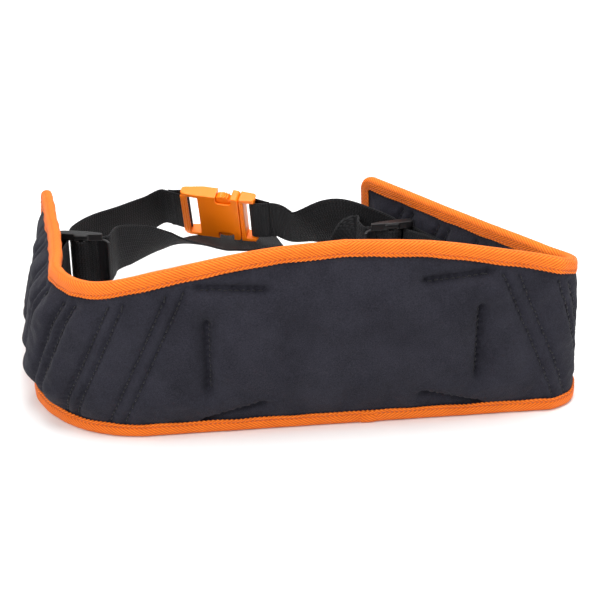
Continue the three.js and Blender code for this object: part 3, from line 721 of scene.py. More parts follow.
@dataclass
class PaddedBody:
    """The padded belt body: one sewn skin over the foam, drawn in at its stitching."""

    form: BeltForm
    quilting: Quilting
    finishes: Finishes
    inset: float = 0.0015
    edge_half: float = 0.0026
    pad_half: float = 0.0092
    tip_half: float = 0.0066
    left_belly: float = 0.0085
    right_belly: float = -0.005
    swell_from: float = 0.0105
    swell_to: float = 0.031
    pitch: float = 0.0027
    rows: int = 46
    stitch_reach: float = 0.0044
    crease: float = 0.0017
    crease_reach: float = 0.0017
    ledge: float = 0.0024
    ledge_width: float = 0.0012
    ledge_fade: float = 0.008
    ledge_end: float = 0.005
    pair_depth: float = 0.5
    pucker: float = 0.3
    pucker_pitch: float = 0.0052
    line_reach: float = 0.02
    pressure: float = 4.0
    last_frame: int = 20
    row_step: float = field(init=False, default=0.0)
    most_move: float = 0.0035
    halves: dict[Side, bpy.types.Object] = field(default_factory=dict)

    def __post_init__(self) -> None:
        """Measures the stitched lines once."""
        self.lines = self.quilting.lines(self.form)

    def outline_gap(self, along: float, height: float) -> float:
        """The distance from a place on the pad to its outline, whose tips have rounded corners."""
        from_tip = self.form.half(along) - abs(along)
        from_edge = min(height, self.form.upper(along) - height)
        r = self.form.tip_radius
        if from_tip >= r or from_edge >= r:
            return min(from_tip, from_edge)
        return r - math.hypot(r - from_tip, r - from_edge)

    def drawn_in(self, along: float, height: float) -> float:
        """How much the stitching draws the padding in at a place, from 0 to 1."""
        most = 0.0
        for (ax, ay), (bx, by), depth, _ in self.lines:
            if along < min(ax, bx) - self.line_reach or along > max(ax, bx) + self.line_reach:
                continue
            dx, dy = bx - ax, by - ay
            t = min(max(((along - ax) * dx + (height - ay) * dy) / (dx * dx + dy * dy), 0.0), 1.0)
            gap = math.hypot(along - ax - t * dx, height - ay - t * dy)
            most = max(most, depth * math.exp(-((gap / self.stitch_reach) ** 1.15)))
        return most

    def belly(self, along: float) -> float:
        """How much further than the inner face the outer one swells: out on the left wing's curve."""
        a = abs(along)
        if along < 0:
            return self.left_belly * smoothstep(a, 0.15, 0.21) * (1 - smoothstep(a, 0.31, 0.38))
        return self.right_belly * smoothstep(a, 0.1, 0.14) * (1 - smoothstep(a, 0.2, 0.25))

    def thickness(self, along: float, height: float, face: Face) -> float:
        """How far a face is from the pad's middle at a place, with the stitching drawn in."""
        full = self.pad_half + (self.tip_half - self.pad_half) * smoothstep(abs(along), 0.15, 0.33)
        if face is Face.OUTER:
            full += self.belly(along)
        rise = smoothstep(self.outline_gap(along, height), self.swell_from, self.swell_to) ** 0.5
        swell = (full - self.edge_half) * rise
        return self.edge_half + swell * (1 - self.drawn_in(along, height))

    def stations(self) -> list[float]:
        """Distances along the belt, close together at the tips, one of them the middle of the back."""
        runs = {}
        for side, half in self.form.halves.items():
            straight = half - 0.015
            count = round(straight / self.pitch)
            run = [k * straight / count for k in range(count + 1)]
            run += [half - back for back in (0.0125, 0.0102, 0.008, 0.006, 0.0043, 0.0028, self.inset)]
            runs[side] = run
        return [-s for s in reversed(runs[Side.LEFT][1:])] + runs[Side.RIGHT]

    def skin(self) -> tuple[bpy.types.Object, int]:
        """The whole sewn skin as one closed mesh, and the number of its middle section."""
        at = self.stations()
        radius = self.form.tip_radius - self.inset
        rings, heights = [], []
        for along in at:
            trim = self.form.trim(self.form.half(along) - self.inset - abs(along), radius)
            low = self.inset + trim
            high = self.form.upper(along) - low
            column = [low + (high - low) * k / self.rows for k in range(self.rows + 1)]
            outer = [self.form.point(along, h, self.form.middle - self.thickness(along, h, Face.OUTER))
                     for h in column]
            inner = [self.form.point(along, h, self.form.middle + self.thickness(along, h, Face.INNER))
                     for h in reversed(column)]
            rings.append([tuple(p) for p in outer + inner])
            heights.append(high - low)
        span = max(heights)
        self.row_step = span / self.rows
        around = [k * self.row_step for k in range(2 * self.rows + 3)]
        return loft("sewn_skin", np.array(rings), at, around), at.index(0.0)

    def hold(self, skin: bpy.types.Object) -> bpy.types.VertexGroup:
        """Marks what the cloth can't move: the bound edge and the stitched lines."""
        held = skin.vertex_groups.new(name="held")
        at = self.stations()
        size = 2 * self.rows + 2
        for i, along in enumerate(at):
            for j in range(size):
                index = i * size + j
                k = j if j <= self.rows else size - 1 - j
                trim = self.form.trim(self.form.half(along) - self.inset - abs(along),
                                      self.form.tip_radius - self.inset)
                low = self.inset + trim
                height = low + (self.form.upper(along) - 2 * low) * k / self.rows
                edge = 1 - smoothstep(self.outline_gap(along, height), 0.0095, 0.013)
                seam = smoothstep(self.drawn_in(along, height), 0.33, 0.47)
                held.add([index], max(edge, seam), "REPLACE")
        return held

    def inflate(self, skin: bpy.types.Object) -> None:
        """Lets the fabric swell and wrinkle between what holds it, then keeps the result.

        Args:
            skin: The whole skin, in place.
        """
        start = np.array([v.co[:] for v in skin.data.vertices])
        self.hold(skin)
        cloth = skin.modifiers.new("cloth", "CLOTH")
        cloth.settings.quality = 5
        cloth.settings.mass = 0.3
        cloth.settings.tension_stiffness = 12
        cloth.settings.compression_stiffness = 12
        cloth.settings.shear_stiffness = 6
        cloth.settings.bending_stiffness = 0.25
        cloth.settings.shrink_min = -0.022
        cloth.settings.use_pressure = True
        cloth.settings.uniform_pressure_force = self.pressure
        cloth.settings.vertex_group_mass = "held"
        cloth.settings.effector_weights.gravity = 0.0
        cloth.collision_settings.use_collision = False
        scene = bpy.context.scene
        for frame in range(1, self.last_frame + 1):
            scene.frame_set(frame)
        settled(skin)
        scene.frame_set(1)
        end = np.array([v.co[:] for v in skin.data.vertices])
        move = end - start
        length = np.linalg.norm(move, axis=1)
        cap = self.most_move * np.tanh(length / self.most_move) / np.maximum(length, 1e-9)
        kept = start + move * cap[:, None]
        skin.data.vertices.foreach_set("co", kept.ravel())
        skin.data.update()
        log.info("padding swelled by up to %.1f mm", 1000 * float((length * cap).max()))

    def split(self, skin: bpy.types.Object, middle: int) -> None:
        """Cuts the skin at the middle of the back into two halves that share its edge.

        Args:
            skin: The whole skin.
            middle: The number of its middle section.
        """
        size = 2 * self.rows + 2
        source = skin.data
        uvs = source.uv_layers["UVMap"].data
        for side in Side:
            keep = [p for p in source.polygons
                    if all((v // size - middle) * side.value >= 0 for v in p.vertices)]
            used = sorted({v for p in keep for v in p.vertices})
            number = {v: n for n, v in enumerate(used)}
            mesh = bpy.data.meshes.new(f"padded_body_{side.word}")
            mesh.from_pydata([source.vertices[v].co[:] for v in used], [],
                             [tuple(number[v] for v in p.vertices) for p in keep])
            flat = [uvs[c].uv[:] for p in keep for c in p.loop_indices]
            mesh.uv_layers.new(name="UVMap").data.foreach_set("uv", np.array(flat, np.float32).ravel())
            half = new_object(f"padded_body_{side.word}", mesh)
            finer = half.modifiers.new("finer", "SUBSURF")
            finer.levels = finer.render_levels = 1
            finer.boundary_smooth = "PRESERVE_CORNERS"
            settled(half)
            self.press(half)
            self.halves[side] = half
        bpy.data.objects.remove(skin)

    def belt_places(self, mesh: bpy.types.Mesh) -> tuple[np.ndarray, np.ndarray]:
        """Each vertex's distance along the belt and height, read back from the skin's UV map."""
        uvs = np.zeros(2 * len(mesh.loops), np.float32)
        mesh.uv_layers["UVMap"].data.foreach_get("uv", uvs)
        owners = np.zeros(len(mesh.loops), np.int32)
        mesh.loops.foreach_get("vertex_index", owners)
        flat = np.zeros((len(mesh.vertices), 2))
        flat[owners] = uvs.reshape(-1, 2)
        at = self.stations()
        trims = [self.form.trim(self.form.half(a) - self.inset - abs(a), self.form.tip_radius - self.inset)
                 for a in at]
        low = np.interp(flat[:, 0], at, [self.inset + t for t in trims])
        tops = [self.form.upper(a) - self.inset - t for a, t in zip(at, trims)]
        high = np.interp(flat[:, 0], at, tops)
        row = flat[:, 1] / self.row_step
        row = np.where(row > self.rows + 0.5, 2 * self.rows + 1 - row, row)
        return flat[:, 0], low + (high - low) * row / self.rows

    def press(self, half: bpy.types.Object) -> None:
        """Presses narrow creases in along the stitched lines, and sets one side of a tack lower.

        Args:
            half: One half of the skin, already fine.
        """
        mesh = half.data
        along, height = self.belt_places(mesh)
        press = np.zeros(len(along))
        ledges = np.zeros(len(along))
        for (ax, ay), (bx, by), depth, lower in self.lines:
            dx, dy = bx - ax, by - ay
            length = math.hypot(dx, dy)
            t = np.clip(((along - ax) * dx + (height - ay) * dy) / length**2, 0, 1)
            gap = np.hypot(along - ax - t * dx, height - ay - t * dy)
            aside = ((along - ax) * dy - (height - ay) * dx) / length
            pucker = 1 + self.pucker * np.sin(2 * math.pi * t * length / self.pucker_pitch)
            narrow = np.exp(-((gap / self.crease_reach) ** 1.3))
            crease = self.crease * depth / self.pair_depth * narrow * pucker
            press = np.maximum(press, crease)
            if lower:
                past_end = np.sqrt(np.maximum(gap**2 - aside**2, 0.0))
                fade = np.exp(-((past_end / self.ledge_end) ** 2)) * np.exp(-np.abs(aside) / self.ledge_fade)
                ledges += self.ledge * lower * np.tanh(aside / self.ledge_width) * fade
        verts = np.zeros(3 * len(mesh.vertices), np.float32)
        mesh.vertices.foreach_get("co", verts)
        normals = np.zeros(3 * len(mesh.vertices), np.float32)
        mesh.vertices.foreach_get("normal", normals)
        moved = verts.reshape(-1, 3) - normals.reshape(-1, 3) * (press + ledges)[:, None]
        mesh.vertices.foreach_set("co", moved.astype(np.float32).ravel())
        mesh.update()

    def build(self) -> None:
        """Builds both halves and hides the imported parts they stand for."""
        skin, middle = self.skin()
        self.inflate(skin)
        self.split(skin, middle)
        for side, half in self.halves.items():
            half.data.materials.append(self.finishes.cover)
            start, end = self.form.flex_line(side)
            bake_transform(half)
            names = [f"{layer}_{part}" for layer in ("outer_cover", "inner_lining", "foam")
                     for part in ("center", side.word)]
            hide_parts(*names, "lumbar_board")
            log.info("%s: %d faces", half.name, len(half.data.polygons))


# ---- Stitches -----------------------------------------------------------------------------------------


@dataclass
class Stitcher:
    """Lays runs of stitches on a surface and gathers them into one piece."""

    name: str
    thick: float = 0.00042
    length: float = 0.0024
    pitch: float = 0.0032
    sides: int = 6
    verts: list[Vector] = field(default_factory=list)
    faces: list[tuple[int, ...]] = field(default_factory=list)

    def stitch(self, at: Vector, along: Vector, out: Vector) -> None:
        """Adds one stitch, a thread that rises from the fabric and goes back into it.

        Args:
            at: Its middle, on the surface.
            along: Its direction.
            out: The surface's normal.
        """
        across = along.cross(out).normalized()
        start = len(self.verts)
        profile = ((-0.5, 0.35, -0.5), (-0.36, 0.85, 0.1), (0.0, 1.0, 0.35), (0.36, 0.85, 0.1),
                   (0.5, 0.35, -0.5))
        for place, width, lift in profile:
            centre = at + along * (place * self.length) + out * (lift * self.thick)
            for k in range(self.sides):
                turn = 2 * math.pi * k / self.sides
                ring = across * math.cos(turn) + out * math.sin(turn)
                self.verts.append(centre + ring * (self.thick * width))
        last = len(profile) - 1
        for i in range(last):
            for k in range(self.sides):
                a, b = start + i * self.sides + k, start + i * self.sides + (k + 1) % self.sides
                self.faces.append((a, b, b + self.sides, a + self.sides))
        self.faces.append(tuple(start + k for k in reversed(range(self.sides))))
        self.faces.append(tuple(start + last * self.sides + k for k in range(self.sides)))

    def run(self, places: Sequence[Vector], surface: BVHTree) -> None:
        """Lays stitches along a line, each on the nearest place of a surface.

        Args:
            places: The line's points.
            surface: What the stitches lie on.
        """
        steps = [(b - a).length for a, b in zip(places, places[1:])]
        total = sum(steps)
        count = max(int(total / self.pitch), 1)
        for n in range(count):
            want = (n + 0.5) * total / count
            i = 0
            while i < len(steps) - 1 and want > steps[i]:
                want -= steps[i]
                i += 1
            at = places[i].lerp(places[i + 1], min(want / max(steps[i], 1e-9), 1.0))
            spot, normal, _, _ = surface.find_nearest(at)
            if spot is None:
                continue
            ahead = (places[i + 1] - places[i]).normalized()
            ahead = (ahead - normal * ahead.dot(normal)).normalized()
            self.stitch(spot, ahead, normal)

    def piece(self, material: bpy.types.Material) -> bpy.types.Object:
        """All the stitches as one piece."""
        mesh = bpy.data.meshes.new(self.name)
        mesh.from_pydata([v[:] for v in self.verts], [], self.faces)
        made = new_object(self.name, mesh)
        made.data.materials.append(material)
        return made


def surface_of(piece: bpy.types.Object) -> BVHTree:
    """A piece's surface, for laying stitches on."""
    mesh = piece.data
    return BVHTree.FromPolygons([v.co[:] for v in mesh.vertices],
                                [tuple(p.vertices) for p in mesh.polygons])


@dataclass
class QuiltStitches:
    """The dark stitching of the quilting lines, on both faces of the pad."""

    form: BeltForm
    body: PaddedBody
    finishes: Finishes

    def build(self) -> None:
        """Lays the stitches of each half."""
        for side in Side:
            half = self.body.halves[side]
            surface = surface_of(half)
            sewing = Stitcher(f"quilt_stitches_{side.word}", thick=0.0005, length=0.0026, pitch=0.0036)
            for (ax, ay), (bx, by), _, _ in self.body.lines:
                if ax * side.value < 0:
                    continue
                for face in Face:
                    line = []
                    for k in range(25):
                        along, height = ax + (bx - ax) * k / 24, ay + (by - ay) * k / 24
                        off = self.body.thickness(along, height, face) * face.value
                        line.append(self.form.point(along, height, self.form.middle + off))
                    sewing.run(line, surface)
            made = sewing.piece(self.finishes.dark_thread)
            start, end = self.form.flex_line(side)
            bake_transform(made)
            log.info("%s: %d faces", made.name, len(made.data.polygons))


# ---- Binding ------------------------------------------------------------------------------------------


@dataclass
class EdgeBinding:
    """The folded tape sewn round the pad's whole edge."""

    form: BeltForm
    finishes: Finishes
    leg: float = 0.0103
    half: float = 0.0041
    thick: float = 0.0011
    seam: float = 0.0081
    pitch: float = 0.00105
    scallop: float = 0.0032
    joint_at: float = 0.011

    def section(self) -> list[Place]:
        """The tape's folded section: x goes in from the pad's edge and y is off the pad's middle."""
        outer: list[Place] = [(self.leg, -self.half + 0.0002)]
        for x, lift in ((0.0096, 0.00005), (0.0088, -0.0001), (self.seam, -0.0004), (0.0074, -0.0001),
                        (0.0062, 0.0001), (0.0048, 0.00012)):
            outer.append((x, -self.half - lift))
        fold = 0.0034
        for k in range(11):
            turn = math.pi * k / 10
            outer.append((fold - fold * math.sin(turn), -self.half * math.cos(turn)))
        outer += [(x, -y) for x, y in reversed(outer[:7])]
        inner = self.half - self.thick
        back = [(self.leg - 0.0001, inner + 0.0001), (0.006, inner), (0.0022, inner), (self.thick, 0.0),
                (0.0022, -inner), (0.006, -inner), (self.leg - 0.0001, -inner - 0.0001)]
        return outer + back

    def puckering(self, along: float) -> float:
        """How much the tape puckers: most on the left wing and round the right corner."""
        a = abs(along)
        if along < 0:
            return 0.00018 + 0.00034 * smoothstep(a, 0.16, 0.24)
        return 0.00018 + 0.0004 * smoothstep(a, 0.12, 0.15) * (1 - smoothstep(a, 0.2, 0.24))

    def places(self, side: Side) -> list[tuple[float, float, float, float]]:
        """The edge of one half, from the middle of the back over the top, round the tip and below."""
        r = self.form.tip_radius
        straight = self.form.halves[side] - r
        count = round(straight / self.pitch)
        run = [straight * k / count for k in range(count + 1)]
        sign = side.value
        upper = [(sign * a, self.form.upper(a), 0.0, -1.0) for a in run[:-1]]
        lower = [(sign * a, 0.0, 0.0, 1.0) for a in reversed(run[:-1])]
        rounds = []
        for top in (True, False):
            for k in range(19):
                turn = math.pi / 2 * k / 18
                angle = math.pi / 2 - turn if top else -turn
                c, s = math.cos(angle), math.sin(angle)
                along = straight + r * c
                middle = self.form.upper(along) - r if top else r
                rounds.append((sign * along, middle + r * s, -sign * c, -s))
        return upper + rounds + lower

    def build(self) -> None:
        """Builds each half's tape, its stitching and the lapped joint, and ties the lapped joint to the
        frame.
        """
        section = self.section()
        lengths = [0.0]
        closing = section + section[:1]
        for (ax, ay), (bx, by) in zip(closing, closing[1:]):
            lengths.append(lengths[-1] + math.hypot(bx - ax, by - ay))
        drift = random.Random(7)
        for side in Side:
            places = self.places(side)
            phases = [drift.uniform(0, 6.28) for _ in range(3)]
            rings, along = [], [0.0]
            for n, (a, h, ia, ih) in enumerate(places):
                if n:
                    before = places[n - 1]
                    along.append(along[-1] + max(math.hypot(a - before[0], h - before[1]), 1e-5))
                run = along[-1]
                calm = smoothstep(abs(a), 0.0, 0.03)
                wave = self.puckering(a) * calm * (math.sin(run * 118 + phases[0])
                                                   + 0.7 * math.sin(run * 310 + phases[1]))
                edge = 0.00025 * calm * math.sin(run * 176 + phases[2])
                tooth = 0.00032 * math.sin(2 * math.pi * run / self.scallop)
                ring = []
                for x, y in section:
                    reach = x / self.leg
                    x2 = x + edge * reach + tooth * smoothstep(x, 0.0085, self.leg)
                    ring.append(tuple(self.form.point(a + ia * x2, h + ih * x2,
                                                      self.form.middle + y + wave * (0.35 + 0.65 * reach))))
                rings.append(ring)
            tape = loft(f"edge_binding_{side.word}", np.array(rings), along, lengths, capped=False)
            tape.data.materials.append(self.finishes.tape)
            sewing = Stitcher(f"binding_stitches_{side.word}", thick=0.0004, length=0.0023, pitch=0.0032)
            surface = surface_of(tape)
            for face in Face:
                line = [self.form.point(a + ia * self.seam, h + ih * self.seam,
                                        self.form.middle + face.value * self.half)
                        for a, h, ia, ih in places]
                sewing.run(line, surface)
            thread = sewing.piece(self.finishes.tape_thread)
            start, end = self.form.flex_line(side)
            for made, slot in ((tape, "binding_tape"), (thread, "thread")):
                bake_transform(made)
                log.info("%s: %d faces", made.name, len(made.data.polygons))
            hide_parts("binding_center_upper", "binding_center_lower", f"binding_{side.word}")
        self.lapped_joint()

    def lapped_joint(self) -> None:
        """The tape's turned end, lapped over its start on the lower edge."""
        section = [(x - 0.0002 if 0 < i < 17 else x, y * 1.1) for i, (x, y) in enumerate(self.section())]
        rings, along = [], []
        for k in range(7):
            a = self.joint_at + 0.012 * (k / 6)
            lift = 1.0 if 0 < k < 6 else 0.93
            rings.append([tuple(self.form.point(a + 0.12 * x, x - 0.0004 * (lift - 0.93) / 0.07,
                                                self.form.middle + y * lift)) for x, y in section])
            along.append(0.012 * k / 6)
        around = [0.0]
        closing = section + section[:1]
        for (ax, ay), (bx, by) in zip(closing, closing[1:]):
            around.append(around[-1] + math.hypot(bx - ax, by - ay))
        lap = loft("binding_lap", np.array(rings), along, around)
        for vertex in lap.data.vertices:
            vertex.co.z = max(vertex.co.z, 0.0)
        lap.data.materials.append(self.finishes.tape)
        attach(lap, "pad")


# ---- Webbing ------------------------------------------------------------------------------------------


@dataclass
class Ribbon:
    """A length of webbing along a curve."""

    name: str
    points: Sequence[Vector]
    widths: Sequence[Vector]
    steps: int = 120
    width: float = 0.038
    thick: float = 0.0016
    start: float = 0.0

    def section(self) -> list[Place]:
        """Half the width and thickness of the webbing round its section, with firm rounded edges."""
        w, t = self.width / 2, self.thick / 2
        shape = [(w - 0.0022, t), (w - 0.0014, t * 1.12), (w - 0.0005, t * 0.95), (w, t * 0.35)]
        right = shape + [(x, -y) for x, y in reversed(shape)]
        flat = [w * k / 5 for k in (3, 1, -1, -3)]
        top = [(x, t) for x in reversed(flat)]
        below = [(x, -t) for x in flat]
        left = [(-x, y) for x, y in right]
        return top + right + below + list(reversed(left))

    def build(self) -> bpy.types.Object:
        """Builds the ribbon, with its UV map running along it and across it."""
        section = self.section()
        across = [0.0]
        closing = section + section[:1]
        for (ax, ay), (bx, by) in zip(closing, closing[1:]):
            across.append(across[-1] + math.hypot(bx - ax, by - ay))
        rings, along = [], []
        before = None
        distance = self.start
        for i in range(self.steps + 1):
            t = i / self.steps
            at = spline(self.points, t)
            tangent = spline(self.points, min(t + 1e-4, 1.0)) - spline(self.points, max(t - 1e-4, 0.0))
            tangent.normalize()
            side = spline(self.widths, t).normalized()
            side = (side - tangent * side.dot(tangent)).normalized()
            face = tangent.cross(side)
            rings.append([tuple(at + side * x + face * y) for x, y in section])
            if before is not None:
                distance += (at - before).length
            along.append(distance)
            before = at
        return loft(self.name, np.array(rings), along, across)


@dataclass
class LockForm:
    """One ladder lock's place, and the way webbing runs through it."""

    side: Side
    form: BeltForm
    height: float = 0.056
    mid_bar: float = 0.014
    bar: float = 0.0022
    tab_layer: float = 0.00105

    @property
    def tab_round(self) -> float:
        """How far the middle of the tab's webbing is from the middle of the end bar it goes round."""
        return self.bar + 0.0013

    @property
    def along(self) -> float:
        """Where on the belt the end bar is."""
        return -0.346 if self.side is Side.LEFT else 0.3485

    @property
    def stand(self) -> float:
        """How far the end bar stands off the lining, for an upright tab on a leaning wing."""
        return self.tab_layer + self.tab_round + self.form.lean(self.along) * 0.019

    def face_point(self, along: float, height: float, off: float) -> Vector:
        """A point off a wing's lining face."""
        full = 0.009 + (0.006 - 0.009) * smoothstep(abs(along), 0.143, 0.326)
        return self.form.point(along, height, self.form.middle + full + off)

    def frame(self) -> Matrix:
        """The lock's frame: x from its end bar to its lip, y to the back, z up."""
        yaw, back = (-9.0, 1.0) if self.side is Side.LEFT else (184.0, -1.0)
        place = Matrix.Translation(self.face_point(self.along, self.height, self.stand))
        return place @ Matrix.Rotation(math.radians(yaw), 4, "Z") @ Matrix.Diagonal((1, back, 1, 1))

    def out(self, slot: int) -> list[tuple[Vector, Vector]]:
        """The two places that lead webbing out: slot 0 is beside the end bar and 1 beside the lip."""
        x, y, dx, dy = ((self.mid_bar - 0.009, 0.007, -0.24, 0.97) if slot == 0
                        else (self.mid_bar + 0.016, 0.0065, 0.94, 0.35))
        return [(self.frame() @ Vector((x + dx * past, y + dy * past, 0.0)), Vector((0, 0, 1)))
                for past in (0.0, 0.0035)]


@dataclass
class BuckleForm:
    """The buckle's place and its main sizes."""

    form: BeltForm
    mouth: tuple[float, float, float] = (-0.0486, 0.2402, 0.0551)
    yaw: float = -20.0
    pitch: float = 21.0
    roll: float = 2.0
    body: float = 0.048
    width: float = 0.046
    thick: float = 0.012
    bar: float = 0.0016
    base: float = 0.013
    reach: dict[Side, float] = field(default_factory=lambda: {Side.LEFT: 0.014, Side.RIGHT: 0.013})

    def frame(self) -> Matrix:
        """The buckle's frame: x along the webbing from the socket's mouth, y through it, z across."""
        turn = (Matrix.Rotation(math.radians(self.yaw), 4, "Z")
                @ Matrix.Rotation(math.radians(self.roll), 4, "Y")
                @ Matrix.Rotation(math.radians(self.pitch), 4, "X"))
        return Matrix.Translation(self.form.origin + Vector(self.mouth)) @ turn

    def bar_x(self, side: Side) -> float:
        """Where the webbing bar of a half is: the socket's on the left, the base's on the right."""
        return -self.body + self.bar if side is Side.LEFT else self.base - self.bar

    def into(self, side: Side) -> list[tuple[Vector, Vector]]:
        """The two places that bring webbing into line with a sewn loop, the nearer one last."""
        width = self.frame().to_3x3() @ Vector((0, 0, 1))
        return [(self.frame() @ Vector((self.bar_x(side) + side.value * (self.reach[side] + past), 0, 0)),
                 width) for past in (0.0065, 0.0)]


@dataclass
class Straps:
    """All the webbing: tabs, wraps, main straps, tails and the sewn loops on the buckle."""

    form: BeltForm
    buckle: BuckleForm
    locks: dict[Side, LockForm]
    finishes: Finishes
    made: dict[str, bpy.types.Object] = field(default_factory=dict)

    def routes(self) -> dict[str, Run]:
        """The free runs' middle points, from the lower outer edge at the middle of the back, and widths."""
        return {
            "strap_left_main": [
                ((-0.184, 0.188, 0.056), (0, 0, 1)), ((-0.178, 0.2, 0.056), (0, 0, 1)),
                ((-0.168, 0.214, 0.055), (0, 0, 1)), ((-0.149, 0.234, 0.053), (0, -0.1, 1)),
                ((-0.127, 0.255, 0.053), (-0.1, -0.3, 0.95))],
            "strap_left_tail": [
                ((-0.153, 0.177, 0.056), (0, 0, 1)), ((-0.149, 0.191, 0.054), (0, -0.1, 1)),
                ((-0.134, 0.205, 0.05), (0, -0.35, 0.94)), ((-0.114, 0.217, 0.045), (0, -0.7, 0.7)),
                ((-0.092, 0.226, 0.04), (0, -0.93, 0.36)), ((-0.064, 0.246, 0.0295), (0, -1, 0.1)),
                ((-0.038, 0.251, 0.0275), (0, -1, 0)), ((-0.018, 0.255, 0.0275), (0, -1, 0))],
            "strap_right_main": [
                ((0.066, 0.176, 0.056), (0, 0, 1)), ((0.05, 0.191, 0.06), (0, -0.1, 1)),
                ((0.028, 0.206, 0.062), (0.15, -0.15, 0.98)), ((0.006, 0.219, 0.053), (0.3, -0.45, 0.85)),
                ((-0.009, 0.225, 0.05), (0.1, -0.5, 0.85))],
            "strap_right_tail": [
                ((0.037, 0.172, 0.057), (0, 0, 1)), ((0.038, 0.184, 0.055), (0, -0.2, 1)),
                ((0.027, 0.19, 0.045), (0.2, -0.5, 0.84)), ((0.012, 0.192, 0.032), (0.3, -0.7, 0.64)),
                ((-0.006, 0.196, 0.024), (0.1, -0.85, 0.5))],
        }

    def add(self, name: str, places: Sequence[tuple[Vector, Vector]], body: str, steps: int,
            node: str) -> bpy.types.Object:
        """Builds one length of webbing and ties it to the frame.

        Args:
            name: The piece's name.
            places: Its middle points with the direction of its width at each.
            body: The body it rides on.
            steps: How many sections it has.
            node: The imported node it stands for.

        Returns:
            The piece.
        """
        made = Ribbon(name, [p for p, _ in places], [w for _, w in places], steps).build()
        made.data.materials.append(self.finishes.webbing)
        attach(made, body)
        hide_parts(node)
        self.made[name] = made
        log.info("%s: %d faces", name, len(made.data.polygons))
        return made

    def free_runs(self) -> None:
        """The straps between the locks and the buckle, and the hanging tails."""
        for name, places in self.routes().items():
            side = Side.LEFT if "left" in name else Side.RIGHT
            mid = [(self.form.origin + Vector(p), Vector(w)) for p, w in places]
            if name.endswith("main"):
                run = self.locks[side].out(0) + mid + self.buckle.into(side)
            else:
                run = self.locks[side].out(1) + mid
            self.add(f"{name}_webbing", run, "pad", 150, name)

    def wraps(self) -> None:
        """The webbing that passes over each lock's middle bar."""
        for side, lock in self.locks.items():
            over = lock.mid_bar
            path = ((-0.009, 0.007), (-0.008, 0.003), (-0.0065, -0.001), (-0.003, -0.0039), (0, -0.0043),
                    (0.003, -0.0039), (0.0065, -0.001), (0.0085, 0.0025), (0.012, 0.005), (0.016, 0.0065))
            places = [(lock.frame() @ Vector((over + x, y, 0)), Vector((0, 0, 1))) for x, y in path]
            self.add(f"strap_{side.word}_over_bar", places, f"adjuster_{side.word}", 60,
                     f"strap_{side.word}_wrap")

    def loops(self) -> None:
        """The sewn loop around each of the buckle's bars."""
        frame = self.buckle.frame()
        width = frame.to_3x3() @ Vector((0, 0, 1))
        for side in Side:
            bar, out = self.buckle.bar_x(side), side.value
            reach = self.buckle.reach[side]
            around, flat = self.buckle.bar + 0.00125, 0.00095
            near, turn = bar + out * 0.007, 0.71 * around
            path = ((bar + out * reach, flat), (near + out * 0.003, flat + 0.0002), (near, flat + 0.0009),
                    (bar, around), (bar - out * turn, turn), (bar - out * around, 0.0),
                    (bar - out * turn, -turn), (bar, -around), (near, -flat - 0.0009),
                    (near + out * 0.003, -flat - 0.0002), (bar + out * reach, -flat))
            places = [(frame @ Vector((x, y, 0)), width) for x, y in path]
            body = "pad" if side is Side.LEFT else "buckle_male"
            self.add(f"strap_{side.word}_sewn_loop", places, body, 90, f"strap_{side.word}_loop")

    def tabs(self) -> None:
        """The webbing tab that ties each lock to its wing."""
        for side, lock in self.locks.items():
            places = self.tab_places(side, lock)
            self.add(f"lock_tab_{side.word}_webbing", places, f"wing_{side.word}", 110,
                     f"lock_tab_{side.word}")

    def tab_places(self, side: Side, lock: LockForm) -> list[tuple[Vector, Vector]]:
        """The tab's middle points and width directions, from its sewn end round the bar and back."""
        layer, r, off = lock.tab_layer, lock.tab_round, lock.stand
        second = layer + 0.00185
        bend, near = r * 0.71, off - r
        path = ((-0.036, layer), (-0.028, layer), (-0.02, layer + 0.0001),
                (-0.013, layer + (near - layer) * 0.45), (-0.006, near), (0.0, near), (bend, off - bend),
                (r, off), (bend, off + bend), (0.0, off + r), (-0.006, off + r - 0.0008),
                (-0.013, second + (off + r - second) * 0.4), (-0.02, second + 0.00015),
                (-0.028, second), (-0.036, second))
        places = []
        for back, gap in path:
            a = lock.along + side.value * back
            slope = lock.face_point(a, lock.height + 0.019, 0) - lock.face_point(a, lock.height - 0.019, 0)
            twist = smoothstep(back, -0.017, -0.005)
            places.append((lock.face_point(a, lock.height, gap),
                           slope.normalized().lerp(Vector((0, 0, 1)), twist)))
        return places

